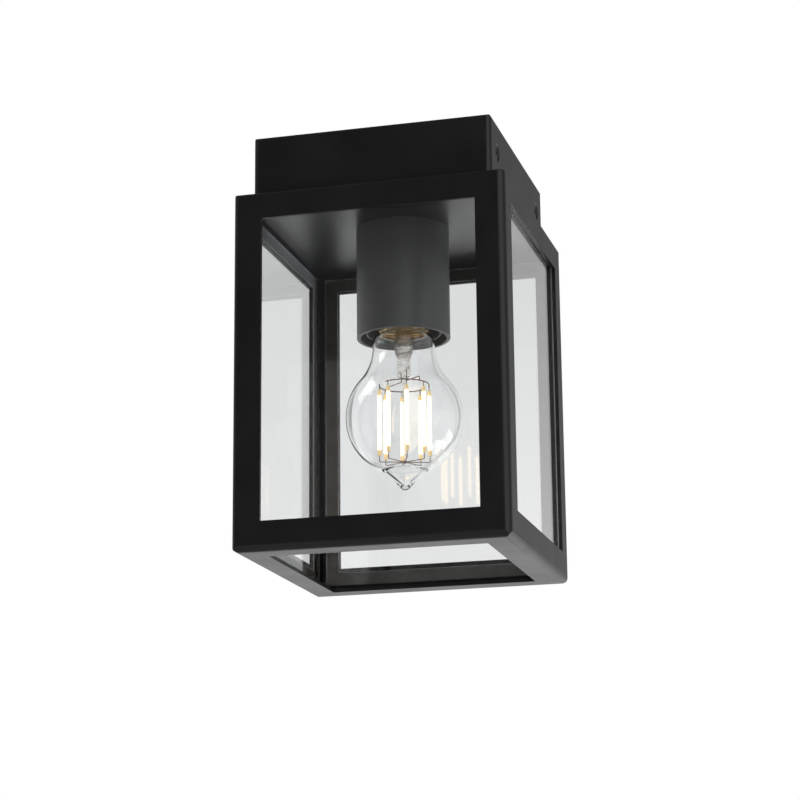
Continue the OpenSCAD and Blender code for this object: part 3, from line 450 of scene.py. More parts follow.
def moulded(name, colour, rough, grain_depth=0.004 * mm):
    """Plastic whose colour darkens and whose roughness drifts with one wide noise, under the
    grain of its mould; returns the material."""
    material, tree, shader = new_material(name)
    drift = noise(tree, 120.0)
    low, high = plastic_rough
    darker = [plastic_darker * c for c in colour]
    feed(tree, shader, Base_Color=blend_colours(tree, spread(tree, drift), colour, darker),
         Roughness=spread(tree, drift, rough + low, rough + high))
    raise_grain(tree, shader, noise(tree, mould_scale), grain_depth)
    return material


black_plastic = moulded("black_plastic", (0.018, 0.018, 0.019), 0.5)
grey_plastic = moulded("grey_plastic", (0.085, 0.086, 0.088), 0.46)
pale_plastic = moulded("pale_plastic", (0.78, 0.76, 0.70), 0.38)
black_rubber = moulded("black_rubber", (0.022, 0.022, 0.022), 0.7, 0.010 * mm)
black_glaze = moulded("black_glaze", (0.008, 0.008, 0.010), 0.12, 0.001 * mm)
green_board = moulded("green_board", (0.02, 0.16, 0.07), 0.35)
brown_cover = moulded("brown_cover", (0.16, 0.07, 0.03), 0.45)
blue_cover = moulded("blue_cover", (0.04, 0.13, 0.42), 0.45)
green_cover = moulded("green_cover", (0.16, 0.36, 0.05), 0.45)
silicone = moulded("clear_silicone", (0.66, 0.67, 0.70), 0.35)
print("materials so far:", len(bpy.data.materials))


# %% [markdown]
# ### Glass
# A pane is a real slab with two faces, so light bends in and out of it and its cut edges look
# green. A slab of pure glass would keep lamps from lighting what is behind it, because a path
# tracer can't aim a shadow ray through it. So shadow rays pass straight through, tinted. In the
# bulb's stem, part of all light does the same, because its pinched glass is full of fine waves.
# Thin dark winding lines painted into the stem's colour are a painted reflection of its wires.

# %% Glass
def clear_glass(name, tint, straight_tint, straight_share=0.0, waves=None, bend=1.5):
    """Glass that bends light, mixed with a share that lets it straight through, tinted. Waves
    are the scale and the depth of what drawing leaves in the surface."""
    material, tree, shader = new_material(name)
    feed(tree, shader, Base_Color=tint, Roughness=0.0, IOR=bend, Transmission_Weight=1.0)
    if waves:
        scale, depth = waves
        raise_grain(tree, shader, noise(tree, scale, 1.0), depth)
    pass_through = add_node(tree, "ShaderNodeBsdfTransparent", Color=straight_tint)
    shadow_ray = tree.nodes.new("ShaderNodeLightPath").outputs["Is Shadow Ray"]
    straight = math_node(tree, "MAXIMUM", shadow_ray, straight_share)
    mix_shaders(tree, straight, shader, pass_through)
    return material


def paint_wire_reflections(material, tint, wire_reflection_tint, scale, width):
    """Paints a reflection into a glass: its colour darkens along thin winding lines, where a noise
    crosses its middle value.
    """
    tree = material.node_tree
    off_middle = math_node(tree, "SUBTRACT", noise(tree, scale, 1.0), 0.5)
    reflection_line = ramp(tree, math_node(tree, "ABSOLUTE", off_middle), width, 0.0)
    colour = blend_colours(tree, reflection_line, tint, wire_reflection_tint)
    feed(tree, tree.nodes["Principled BSDF"], Base_Color=colour)


stem_tint = (1.0, 0.98, 0.96)
# The dark colour of the painted reflection of the wires in the stem.
wire_reflection_tint = (0.02, 0.015, 0.012)
pane_glass = clear_glass("pane_glass", (0.985, 0.995, 0.995), (0.93, 0.94, 0.94))
bulb_glass = clear_glass(
    "bulb_glass", (0.995, 1.0, 1.0), (0.96, 0.97, 0.97), waves=(60.0, 0.02 * mm), bend=1.38
)
stem_glass = clear_glass(
    "stem_glass", stem_tint, stem_tint, straight_share=0.5, waves=(520.0, 0.35 * mm)
)
# Painted reflection: dark lines in the stem's colour stand in for the wires that it mirrors.
paint_wire_reflections(stem_glass, stem_tint, wire_reflection_tint, scale=620.0, width=0.06)
print("glasses:", [glass.name for glass in (pane_glass, bulb_glass, stem_glass)])

# %% [markdown]
# ### Light-giving rods
# Each rod is a strip of tiny diodes in a yellow silicone coat. Where the diodes are, it shines so
# brightly that a photograph shows it white with a cream edge. Its two ends have no diodes, so there
# the coat keeps its own golden colour with a faint painted glow, standing in for light carried
# along the coat; past them the metal pins stick out. The height of a point on the rod tells which
# it is, and Layer Weight tells how near it is to the outline.

# %% Glowing coat
rod_low, rod_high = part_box("filaments")
pin_length = 2.0 * mm
dark_end = 3.5 * mm
rod_middle_z = (rod_low.z + rod_high.z) / 2
rod_half = (rod_high.z - rod_low.z) / 2 - pin_length
lit_half = rod_half - dark_end
dim_from = lit_half - 0.5 * mm   # from the middle to where the glow begins to dim
dim_to = lit_half + 0.9 * mm     # and to where it is dimmest
# The ends' faint glow as a share of the full glow: painted light for light carried along the coat.
painted_end_glow = 0.12
pin_from = rod_half + 0.05 * mm  # from the middle to where the coat is certain to have ended
glow_facing = (3.6, 2.9, 2.0)
glow_outline = (1.5, 1.05, 0.55)
golden = (0.88, 0.58, 0.13)
pale_golden = (0.96, 0.72, 0.24)
pin_metal = (0.32, 0.27, 0.23)


def glowing_coat(name):
    """A golden coat that glows between its ends and has only a faint painted glow at them, with
    bare metal past it. The distance from the rod's middle, along Z, tells the three apart."""
    material, tree, shader = new_material(name)
    off_middle = math_node(tree, "SUBTRACT", axes(tree, "Object")["Z"], rod_middle_z)
    distance = math_node(tree, "ABSOLUTE", off_middle)
    # The glow falls to the painted end glow where the diodes stop.
    lit = ramp(tree, distance, dim_to, dim_from, painted_end_glow, 1.0)
    on_rod = ramp(tree, distance, pin_from, rod_half)
    speck = spread(tree, noise(tree, 2500.0), 0.9, 1.1)
    glow = math_node(tree, "MULTIPLY", math_node(tree, "MULTIPLY", lit, speck), on_rod)
    outline = add_node(tree, "ShaderNodeLayerWeight", Blend=0.35).outputs["Facing"]
    coat = blend_colours(tree, spread(tree, noise(tree, 900.0)), golden, pale_golden)
    feed(tree, shader, Emission_Strength=glow, Roughness=0.45,
         Emission_Color=blend_colours(tree, outline, glow_facing, glow_outline),
         Base_Color=blend_colours(tree, on_rod, pin_metal, coat))
    return material


rod_coat = glowing_coat("rod_coat")
print("rods: middle", round(rod_middle_z, 4), "half length", round(rod_half, 4))

# %% [markdown]
# ## Finishes for the CAD pieces
# Pieces whose CAD shape is already right only need their material. This table pairs each slot of
# the part's record with a finish and the CAD nodes that have it. Pieces that get a finer surface
# further down take their finish from the same place.

# %% Give every CAD node its finish
finishes = {
    "black_paint": (black_coat, ["side_screws", "canopy", "housing"]),
    "grey_paint": (tube_coat, ["holder_sleeve"]),
    "zinc": (zinc, ["ceiling_bracket", "side_nuts", "weld_studs", "canopy_washers",
                    "canopy_nuts", "nipple", "nipple_washer", "nipple_nut", "terminal_screws",
                    "block_nuts", "earth_washer", "earth_nut"]),
    "bulb_wire": (bulb_wire, ["upper_wires", "lower_wires"]),
    "brass": (brass, ["holder_terminals", "holder_thread", "holder_tongue", "shell_strap",
                      "terminal_sleeves", "bulb_cap"]),
    "tin": (tin, ["earth_tag", "bulb_contact"]),
    "clear_glass": (pane_glass, ["pane_front", "pane_rear", "pane_left", "pane_right"]),
    "bulb_glass": (bulb_glass, ["bulb_glass"]),
    "stem_glass": (stem_glass, ["bulb_stem"]),
    "silicone": (silicone, ["bead_front", "bead_rear", "bead_left", "bead_right"]),
    "rubber": (black_rubber, ["cable_grommet"]),
    "black_plastic": (black_plastic, ["holder_cap"]),
    "grey_plastic": (grey_plastic, ["holder_skirt"]),
    "white_plastic": (pale_plastic, ["lead_bush", "holder_insert", "terminal_block"]),
    "black_glass": (black_glaze, ["bulb_insulator"]),
    "circuit_board": (green_board, ["bulb_driver"]),
    "filament": (rod_coat, ["filaments"]),
    "live_cover": (brown_cover, ["live_lead"]),
    "neutral_cover": (blue_cover, ["neutral_lead"]),
    "earth_cover": (green_cover, ["earth_lead"]),
}
finish_of = {}
for kind, (material, nodes) in finishes.items():
    for node in nodes:
        finish_of[node] = material
        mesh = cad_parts[node].data
        mesh.materials.clear()
        mesh.materials.append(material)
print("finished nodes:", len(finish_of))

# %% [markdown]
# ## Sheet metal with soft edges
# The CAD model's mesh is loose triangles with sharp edges. Real sheet has no perfectly sharp
# edge: paint gathers in a thin round along it, and that round catches the light. A copy of the
# mesh is merged, its flat faces are joined again, and a narrow Bevel rounds what is left. Then
# Weighted Normal lets the large flat faces decide the shading, so that they look truly flat.


# %% Soften the edges of a copy
merge_within = 0.002 * mm        # corners this close together become one
flat_within = math.radians(0.5)  # faces that bend less than this are joined
sharp_from = math.radians(25)    # edges that bend more than this are rounded


def stand_in(made, node, body):
    """Shows an object instead of a CAD node, and lets it ride on a body."""
    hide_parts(node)
    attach(made, body)


def softened(node, piece, width, body="lantern", steps=2):
    """A merged copy of a CAD node with its sharp edges rounded by a narrow bevel."""
    mesh = bpy.data.meshes.new(piece)
    work = bmesh.new()
    work.from_mesh(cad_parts[node].data)
    bmesh.ops.remove_doubles(work, verts=work.verts, dist=merge_within)
    bmesh.ops.dissolve_limit(
        work, angle_limit=flat_within, verts=work.verts, edges=work.edges
    )
    work.to_mesh(mesh)
    work.free()
    if "custom_normal" in mesh.attributes:
        mesh.attributes.remove(mesh.attributes["custom_normal"])
    mesh.materials.append(finish_of[node])
    mesh.polygons.foreach_set("use_smooth", np.full(len(mesh.polygons), True))
    made = link_new_object(piece, mesh)
    bevel = made.modifiers.new("edge_round", "BEVEL")
    bevel.width = width
    bevel.segments = steps
    bevel.limit_method = "ANGLE"
    bevel.angle_limit = sharp_from
    flat = made.modifiers.new("flat_faces", "WEIGHTED_NORMAL")
    flat.weight = 100
    stand_in(made, node, body)


softened("housing", "housing_sheet", 0.3 * mm, steps=3)
softened("canopy", "canopy_sheet", 0.3 * mm, steps=3)
softened("side_screws", "side_screw_set", 0.12 * mm)
softened("ceiling_bracket", "bracket_sheet", 0.2 * mm)
for side in ("front", "rear", "left", "right"):
    softened(f"pane_{side}", f"glass_{side}", 0.2 * mm, steps=1)
    softened(f"bead_{side}", f"silicone_{side}", 0.1 * mm)
small_edges = {
    "side_nuts": 0.25, "canopy_nuts": 0.25, "canopy_washers": 0.1, "nipple_nut": 0.4,
    "nipple_washer": 0.15, "block_nuts": 0.2, "earth_nut": 0.25, "earth_washer": 0.1,
    "earth_tag": 0.1, "terminal_screws": 0.12, "terminal_sleeves": 0.1,
    "holder_terminals": 0.2, "shell_strap": 0.1,
}
for node, width in small_edges.items():
    softened(node, node + "_soft", width * mm)
softened("holder_tongue", "tongue_strip", 0.1 * mm, body="centre_contact")
softened("terminal_block", "block_body", 0.4 * mm)
softened("bulb_driver", "driver_board", 0.15 * mm, body="bulb")

# %% [markdown]
# ## Round pieces and threads
# A turned piece is a profile carried round the Z axis. The profile is a list of (radius, height)
# corners; a short curve replaces each corner, as a moulding tool or a press leaves it. Rows of
# the grid run along the profile and columns round the axis.


# %% Helpers for surfaces
def soft_corners(corners, radius, closed=True, steps=5):
    """Rounds the corners of a path. Around the corner p, a and b lie a radius away on the two
    sides that meet there, and the curve is (1-t)^2 a + 2t(1-t) p + t^2 b."""
    p = np.asarray(corners, dtype=float)
    radius = np.broadcast_to(radius, len(p))[:, None]
    back = np.roll(p, 1, axis=0) - p
    ahead = np.roll(p, -1, axis=0) - p
    a = p + radius * back / np.linalg.norm(back, axis=1, keepdims=True)
    b = p + radius * ahead / np.linalg.norm(ahead, axis=1, keepdims=True)
    t = np.linspace(0.0, 1.0, steps + 1)[None, :, None]
    curve = (1 - t) ** 2 * a[:, None] + 2 * t * (1 - t) * p[:, None] + t ** 2 * b[:, None]
    if closed:
        return curve.reshape(-1, p.shape[1])
    inner = curve[1:-1].reshape(-1, p.shape[1])
    return np.vstack([p[:1], inner, p[-1:]])


def turned(profile, sides=96):
    """A profile of (r, z) carried round Z: x = r cos a, y = r sin a. Rows follow the profile."""
    r, z = np.asarray(profile).T
    a = np.linspace(0.0, 2 * np.pi, sides, endpoint=False)
    height = np.broadcast_to(z[:, None], (len(z), sides))
    return np.stack([np.outer(r, np.cos(a)), np.outer(r, np.sin(a)), height], axis=-1)


def tube(path, radius, side):
    """A round rod along a path: path + radius (cos a · u + sin a · v). At each point u is at
    right angles to the path and to the given side direction, and v to the path and to u."""
    path = np.asarray(path)
    along = np.gradient(path, axis=0)
    along /= np.linalg.norm(along, axis=1, keepdims=True)
    u = np.cross(along, side)
    u /= np.linalg.norm(u, axis=1, keepdims=True)
    v = np.cross(along, u)
    a = np.linspace(0.0, 2 * np.pi, 12, endpoint=False)[None, :, None]
    radius = np.broadcast_to(radius, len(path))[:, None, None]
    return path[:, None] + radius * (np.cos(a) * u[:, None] + np.sin(a) * v[:, None])


def skin(grid, ring=False):
    """Points and faces of one closed skin from grid[i, j]: quads between neighbours, with the
    columns closed up. A ring joins its last row to its first; otherwise each end is closed by
    triangles to the middle of its row. The sum of a · (b × c) over the faces tells whether
    they point inwards, and then they are turned round."""
    rows, columns = grid.shape[:2]
    points = grid.reshape(-1, 3)
    i = np.arange(rows if ring else rows - 1)[:, None]
    j = np.arange(columns)[None, :]
    i2 = (i + 1) % rows
    j2 = (j + 1) % columns
    low = [i * columns + j, i * columns + j2]
    high = [i2 * columns + j2, i2 * columns + j]
    quads = np.stack(low + high, axis=-1).reshape(-1, 4)
    a, b, c, d = (points[quads[:, k]] for k in range(4))
    volume = np.sum(a * (np.cross(b, c) + np.cross(c, d)))
    fans = []
    if not ring:
        first = np.arange(columns)
        last = first + (rows - 1) * columns
        points = np.vstack([points, grid[0].mean(axis=0), grid[-1].mean(axis=0)])
        start = np.column_stack([np.roll(first, -1), first, np.full(columns, len(points) - 2)])
        end = np.column_stack([last, np.roll(last, -1), np.full(columns, len(points) - 1)])
        fans = [start, end]
    groups = [quads, *fans]
    if volume < 0:
        groups = [group[:, ::-1] for group in groups]
    return points, [face for group in groups for face in group.tolist()]


def make_piece(piece, skins, node, body="lantern", sharp=35.0):
    """One object from closed skins, shaded smooth except where faces meet at a sharp angle."""
    starts = np.cumsum([0] + [len(points) for points, _ in skins])
    faces = []
    for start, (_, group) in zip(starts, skins):
        faces += [[int(start) + corner for corner in face] for face in group]
    mesh = bpy.data.meshes.new(piece)
    mesh.from_pydata(np.vstack([points for points, _ in skins]).tolist(), [], faces)
    mesh.polygons.foreach_set("use_smooth", np.full(len(mesh.polygons), True))
    mesh.set_sharp_from_angle(angle=math.radians(sharp))
    mesh.materials.append(finish_of[node])
    stand_in(link_new_object(piece, mesh), node, body)
    print(piece, "faces:", len(mesh.polygons))


# %% [markdown]
# ### Tube, lampholder and grommet
# The tube round the lampholder is pressed steel, closed at the top round the threaded nipple.
# The lampholder's lower half is moulded: a skirt, with a barrel in it for the threaded shell and
# a web between the two. The grommet is a rubber ring that grips the bracket's hole. Each of them
# is one closed profile, so it is turned as a ring, with no seam and no pole.

# %% Tube, lampholder and grommet
pressed_round = 0.35 * mm
moulded_round = 0.3 * mm
sleeve_low, sleeve_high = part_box("holder_sleeve")
sleeve_out = sleeve_high.x
sleeve_in = sleeve_out - sheet
sleeve_under = sleeve_high.z - sheet
nipple_low, nipple_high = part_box("nipple")
nipple_hole_r = nipple_high.x + 0.25 * mm
sleeve_profile = soft_corners([
    (sleeve_out, sleeve_high.z), (sleeve_out, sleeve_low.z), (sleeve_in, sleeve_low.z),
    (sleeve_in, sleeve_under), (nipple_hole_r, sleeve_under), (nipple_hole_r, sleeve_high.z),
], pressed_round)
make_piece("sleeve_tube", [skin(turned(sleeve_profile), ring=True)], "holder_sleeve")

skirt_low, skirt_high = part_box("holder_skirt")
thread_low, thread_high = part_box("holder_thread")
skirt_wall = 1.25 * mm
barrel_wall = 1.4 * mm
web_depth = 14.0 * mm
web_thickness = 2.0 * mm
skirt_out = skirt_high.x
skirt_in = skirt_out - skirt_wall
barrel_in = thread_high.x + 0.3 * mm
barrel_out = barrel_in + barrel_wall
web_top = skirt_high.z - web_depth
web_under = web_top - web_thickness
skirt_profile = soft_corners([
    (skirt_out, skirt_high.z), (skirt_out, skirt_low.z), (skirt_in, skirt_low.z),
    (skirt_in, web_under), (barrel_out, web_under), (barrel_out, thread_low.z),
    (barrel_in, thread_low.z), (barrel_in, web_top), (skirt_in, web_top),
    (skirt_in, skirt_high.z),
], moulded_round)
make_piece("skirt_shell", [skin(turned(skirt_profile), ring=True)], "holder_skirt")

grommet_low, grommet_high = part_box("cable_grommet")
bracket_hole_r = 8.0 * mm
bracket_sheet = 1.5 * mm
grommet_neck_r = bracket_hole_r - 0.1 * mm
cable_bore_r = 4.5 * mm
lip_top = -bracket_sheet
lip_under = lip_top - 2.0 * mm
grommet_profile = soft_corners([
    (cable_bore_r, grommet_high.z), (grommet_neck_r, grommet_high.z), (grommet_neck_r, lip_top),
    (grommet_high.x, lip_top), (grommet_high.x, lip_under), (cable_bore_r, grommet_low.z),
], moulded_round)
make_piece("grommet_ring", [skin(turned(grommet_profile), ring=True)], "cable_grommet")

# %% [markdown]
# ### Threads
# Both the cap of the bulb and the shell that it screws into are thin sheet with a rolled thread,
# so inside and outside carry the same wave. At the height z and the angle a, the wave adds
# depth/2 · cos(2π z / pitch - a) to the radius, which is a right-handed thread.

# %% Rolled threads
pitch = 3.629 * mm
wave_depth = 0.9 * mm
rows_per_turn = 20


def run_out(z, low, high, length):
    """1 in the threaded stretch, falling to 0 over a length at each end."""
    return np.clip(np.minimum(z - low, high - z) / length, 0.0, 1.0)


def rolled(profile, low, high, fade_up, sides=120):
    """A turned profile whose radius carries the wave between two heights. Where the wave runs
    out, the radius goes to the crests (fade_up = 1) or to the roots (fade_up = -1)."""
    grid = turned(profile, sides)
    r, z = np.asarray(profile).T
    share = run_out(z, low, high, pitch / 3)
    a = np.linspace(0.0, 2 * np.pi, sides, endpoint=False)
    wave = share[:, None] * np.cos(2 * np.pi * z[:, None] / pitch - a)
    inside = ((z >= low) & (z <= high))[:, None]
    rise = wave_depth / 2 * (wave + fade_up * (1 - share[:, None])) * inside
    grid[:, :, :2] *= (1 + rise / r[:, None])[:, :, None]
    return grid


def thread_heights(low, high):
    """Heights for the rows of a rolled thread, evenly from low to high."""
    return np.linspace(low, high, int((high - low) / pitch * rows_per_turn) + 1)


cap_low, cap_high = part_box("bulb_cap")
cap_mid = 12.6 * mm                     # the radius half-way between crests and roots
cap_wall = 0.3 * mm
cap_rim_top = cap_low.z + 1.6 * mm      # the thread runs from here
cap_shoulder = cap_high.z - 2.2 * mm    # up to here, where the cap turns inwards
cap_hole_r = 8.0 * mm                   # the hole that the black glass closes
cap_root = cap_mid - wave_depth / 2
heights = thread_heights(cap_rim_top, cap_shoulder)
bend = np.linspace(0.0, np.pi / 2, 8)[1:]
shoulder = np.column_stack([
    cap_hole_r + (cap_root - cap_hole_r) * np.cos(bend),
    cap_shoulder + (cap_high.z - cap_shoulder) * np.sin(bend),
])
outside = np.vstack([
    [(cap_high.x, cap_low.z), (cap_high.x, cap_rim_top - 0.4 * mm)],
    np.column_stack([np.full(len(heights), cap_mid), heights]),
    shoulder,
])
inside = outside[::-1] - [cap_wall, 0.0]
inside[: len(shoulder), 1] -= cap_wall
cap_profile = np.vstack([outside, inside])
cap_grid = rolled(cap_profile, cap_rim_top, cap_shoulder, -1)
make_piece("screw_cap", [skin(cap_grid, ring=True)], "bulb_cap", "bulb")

shell_mid = cap_mid + 0.3 * mm
shell_wall = 0.35 * mm
heights = thread_heights(thread_low.z, thread_high.z)
inner = np.column_stack([np.full(len(heights), shell_mid), heights])
outer = inner[::-1] + [shell_wall, 0.0]
shell_grid = rolled(np.vstack([inner, outer]), thread_low.z, thread_high.z, 1)
make_piece("threaded_shell", [skin(shell_grid, ring=True)], "holder_thread")

# %% [markdown]
# ### Cut threads
# The studs and the nipple have a cut thread, with sharp crests and many more turns. A triangle
# wave with a few rows to a turn does for them, and it fades towards both ends.

# %% Cut threads
rows_per_cut_turn = 6
end_share = 0.3  # what is left of the thread's depth at its ends


def cut_thread(radius, low, high, turn, depth, bore=0.0, sides=32):
    """A stud with a V-thread: the depth under the crests is a triangle wave of z/turn - a/2π,
    and fades out at the ends. A bore makes it a tube. Returns the grid and whether it is a
    ring."""
    z = np.linspace(low, high, int((high - low) / turn * rows_per_cut_turn) + 1)
    a = np.linspace(0.0, 2 * np.pi, sides, endpoint=False)
    phase = (z[:, None] / turn - a / (2 * np.pi)) % 1.0
    share = end_share + (1 - end_share) * run_out(z, low, high, turn)[:, None]
    r = radius - depth * (1 - share * (1 - np.abs(2 * phase - 1)))
    height = np.broadcast_to(z[:, None], r.shape)
    outer = np.stack([r * np.cos(a), r * np.sin(a), height], axis=-1)
    if not bore:
        return outer, False
    return np.concatenate([outer, turned([(bore, high), (bore, low)], sides)]), True


roof_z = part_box("weld_studs")[0].z
m4_r = 1.95 * mm
m3_r = 1.45 * mm
stud_pitch = 0.7 * mm
stud_depth = 0.3 * mm
past_nut = 2.0 * mm        # how far the larger studs stand out of their nuts
past_block_nut = 0.8 * mm  # and the two small ones
canopy_stud_at = 50.0 * mm
canopy_stud_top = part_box("canopy_nuts")[1].z + past_nut
earth_y = 32.0 * mm
earth_stud_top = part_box("earth_nut")[1].z + past_nut
block_x = 30.0 * mm
block_stud_y = 5.0 * mm
block_stud_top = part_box("block_nuts")[1].z + past_block_nut
studs = [(x * canopy_stud_at, y * canopy_stud_at, m4_r, canopy_stud_top)
         for x in (-1, 1) for y in (-1, 1)]
studs += [(0.0, earth_y, m4_r, earth_stud_top)]
studs += [(block_x, y * block_stud_y, m3_r, block_stud_top) for y in (-1, 1)]
stud_skins = []
for x, y, radius, top in studs:
    grid, ring = cut_thread(radius, roof_z, top, stud_pitch, stud_depth)
    stud_skins.append(skin(grid + [x, y, 0.0], ring))
make_piece("threaded_studs", stud_skins, "weld_studs", sharp=60.0)
nipple_pitch = 1.0 * mm
nipple_depth = 0.45 * mm
nipple_bore_r = 4.0 * mm
grid, ring = cut_thread(nipple_high.x, nipple_low.z, nipple_high.z, nipple_pitch, nipple_depth,
                        bore=nipple_bore_r, sides=48)
make_piece("nipple_tube", [skin(grid, ring)], "nipple", sharp=60.0)

# %% [markdown]
# ## The bulb's glass
# Blown glass is one skin with an outer and an inner wall. The side of the bulb is made of
# stretches that meet without a kink: the end in the cap, a quarter of an ellipse that widens to
# the neck, a hollow curve, the round, and the drawn tip under it. The inner wall is the same
# line a wall's thickness further in. Where the tip begins, it steps in a little and follows the
# tip down to a small round end, because a drawn tip is a narrow hollow cone of thick glass.

# %% Profile of the glass
glass_low, glass_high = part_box("bulb_glass")
glass_wall = 0.8 * mm
glass_end_r = 11.5 * mm        # the end that is cemented into the cap
tip_length = 7.8 * mm          # how far the tip stands out of the round
bulb_neck_r = 16.2 * mm
neck_flare = 5.6 * mm          # the height over which the end widens to the neck
neck_length = 1.6 * mm         # the straight stretch under that
tip_base_r = 11.7 * mm
tip_ball_r = 3.0 * mm
round_r = glass_high.x
round_z = glass_low.z + tip_length + round_r
neck_low = cap_low.z - 0.1 * mm
curve_z = neck_low - neck_flare - neck_length
curve_drop = curve_z - round_z
curve_r = (bulb_neck_r ** 2 + curve_drop ** 2 - round_r ** 2) / (2 * (round_r - bulb_neck_r))


def glass_side(t):
    """The side as (r, z), at the depth t inside the outer face. The hollow curve is an arc of
    radius curve_r about a centre outside the bulb at the height curve_z, the round an arc about
    (0, round_z). The two touch, which is what curve_r is worked out from."""
    flare = np.linspace(0.0, np.pi / 2, 16)
    flare_r = glass_end_r - t + (bulb_neck_r - glass_end_r) * np.sin(flare)
    flare_z = neck_low - t - (neck_flare - t) * (1 - np.cos(flare))
    turn = np.arctan2(curve_drop, bulb_neck_r + curve_r)
    hollow = np.linspace(0.0, turn, 14)
    hollow_r = bulb_neck_r + curve_r - (curve_r + t) * np.cos(hollow)
    hollow_z = curve_z - (curve_r + t) * np.sin(hollow)
    tip_turn = np.arccos((tip_base_r - t) / (round_r - t))
    full = np.linspace(turn, -tip_turn, 60)[1:]
    full_r = (round_r - t) * np.cos(full)
    full_z = round_z + (round_r - t) * np.sin(full)
    end = np.array([[glass_end_r - t, glass_high.z]])
    return np.vstack([end, np.column_stack([flare_r, flare_z]),
                      np.column_stack([hollow_r, hollow_z]), np.column_stack([full_r, full_z])])


def quadratic(a, b, c, t):
    """The curve (1-t)^2 a + 2t(1-t) b + t^2 c."""
    t = t[:, None]
    return (1 - t) ** 2 * np.asarray(a) + 2 * t * (1 - t) * np.asarray(b) + t ** 2 * np.asarray(c)


base_z = round_z - np.sqrt(round_r ** 2 - tip_base_r ** 2)
ball = np.radians(np.linspace(40.0, 89.0, 10))
ball_line = np.column_stack([
    tip_ball_r * np.cos(ball), glass_low.z + tip_ball_r * (1 - np.sin(ball))
])
waist = (6.3 * mm, (base_z + glass_low.z) / 2 + 0.6 * mm)
cone_line = quadratic((tip_base_r, base_z), waist, ball_line[0], np.linspace(0.0, 1.0, 14)[1:-1])

inner_base_r = tip_base_r - glass_wall
inner_base_z = round_z - np.sqrt((round_r - glass_wall) ** 2 - inner_base_r ** 2)
hollow_start = (inner_base_r - 1.3 * mm, inner_base_z - 0.2 * mm)
hollow_waist = (waist[0] - 1.3 * mm, waist[1] + 1.0 * mm)
hollow_end_r = 0.9 * mm
hollow_end_z = glass_low.z + 3.6 * mm
hollow_end = np.column_stack([
    hollow_end_r * np.cos(ball), hollow_end_z - hollow_end_r * np.sin(ball)
])
hollow_cone = quadratic(hollow_start, hollow_waist, hollow_end[0], np.linspace(0.0, 1.0, 16)[:-1])
print("bulb's neck radius", round(bulb_neck_r, 4), "and hollow curve radius", round(curve_r, 4))

# %% Blow the glass
outer_line = np.vstack([glass_side(0.0), cone_line, ball_line])
inner_line = np.vstack([glass_side(glass_wall), hollow_cone, hollow_end])
envelope = turned(np.vstack([outer_line[::-1], inner_line]), 128)
make_piece("bulb_envelope", [skin(envelope)], "bulb_glass", "bulb", sharp=60.0)

# %% [markdown]
# ## Stem
# Inside the bulb a glass stem holds everything. Its upper end is a flared tube that is fused to
# the neck; further down the tube is pinched flat round the two feed wires, and a thin rod runs on
# to the hub of the lower wires. It is turned first and then pressed flat where it is pinched.

# %% Stem
stem_low, stem_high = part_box("bulb_stem")
stem_r = 4.7 * mm
stem_flare_r = stem_high.x
stem_flare_h = 9.0 * mm
pinch_low = rod_high.z + 5.0 * mm
pinch_end_r = 3.25 * mm   # before the pinch is pressed flat
pinch_length = 10.0 * mm
pinch_taper = 3.0 * mm    # from the pinch up to the tube's full width
pinch_solid = 14.0 * mm   # from the pinch's foot up to where the tube becomes hollow
thin_rod_r = 0.8 * mm
thin_rod_top = pinch_low - 0.2 * mm
stem_bore_r = stem_r - glass_wall
stem_bore_end = pinch_low + pinch_solid
near_axis = 0.1 * mm
flare = np.linspace(0.0, np.pi / 2, 14)
flare_line = np.column_stack([
    stem_r + (stem_flare_r - stem_r) * (1 - np.sin(flare)),
    stem_high.z - stem_flare_h * (1 - np.cos(flare)),
])
pinch_rounds = [r * mm for r in (0.1, 1.2, 1.2, 0.8, 0.15, 0.1, 0.1)]
pinch_line = soft_corners([
    flare_line[-1], (stem_r, pinch_low + pinch_length + pinch_taper),
    (pinch_end_r, pinch_low + pinch_length), (pinch_end_r, pinch_low),
    (thin_rod_r, thin_rod_top), (thin_rod_r, stem_low.z + 0.2 * mm), (near_axis, stem_low.z),
], pinch_rounds, closed=False)
bore_line = np.vstack([
    flare_line - [glass_wall, 0.0],
    quadratic((stem_bore_r, stem_bore_end + 2.5 * mm), (stem_bore_r, stem_bore_end),
              (near_axis, stem_bore_end), np.linspace(0.0, 1.0, 8)),
])


def pinched(grid, low, top, high, flat):
    """Presses a turned grid flat: x grows by 1 + flat · s / 10 and y shrinks by 1 + flat · s.
    Here s rises smoothly from 0 at high to 1 at top, stays 1 down to low and is 0 just under
    it."""
    z = grid[:, :, 2]
    s = np.clip((high - z) / (high - top), 0.0, 1.0)
    s = s * s * (3 - 2 * s) * np.clip((z - low) / (0.2 * mm) + 1.0, 0.0, 1.0)
    out = grid.copy()
    out[:, :, 0] *= 1 + 0.1 * flat * s
    out[:, :, 1] /= 1 + flat * s
    return out


stem_line = np.vstack([pinch_line[::-1], flare_line[::-1][1:], bore_line])
pinch_top = pinch_low + pinch_length
pinch_flat = 0.8
stem_grid = turned(stem_line, 72)
stem_grid = pinched(stem_grid, pinch_low, pinch_top, pinch_top + 2 * pinch_taper, pinch_flat)
make_piece("glass_stem", [skin(stem_grid)], "bulb_stem", "bulb", sharp=50.0)

# %% [markdown]
# ## Rods
# Eight rods stand upright on a circle. Each is a short capsule, and a thin metal pin runs through
# it and sticks out at both ends, where the wires hold it.

# %% Rods on their circle
rod_count = 8
rod_r = 1.0 * mm
rod_circle_r = 12.9 * mm
first_rod = math.radians(65.0)  # the turn of the whole circle, as in the photograph
pin_r = 0.24 * mm
rod_turns = first_rod + np.arange(rod_count) * 2 * np.pi / rod_count


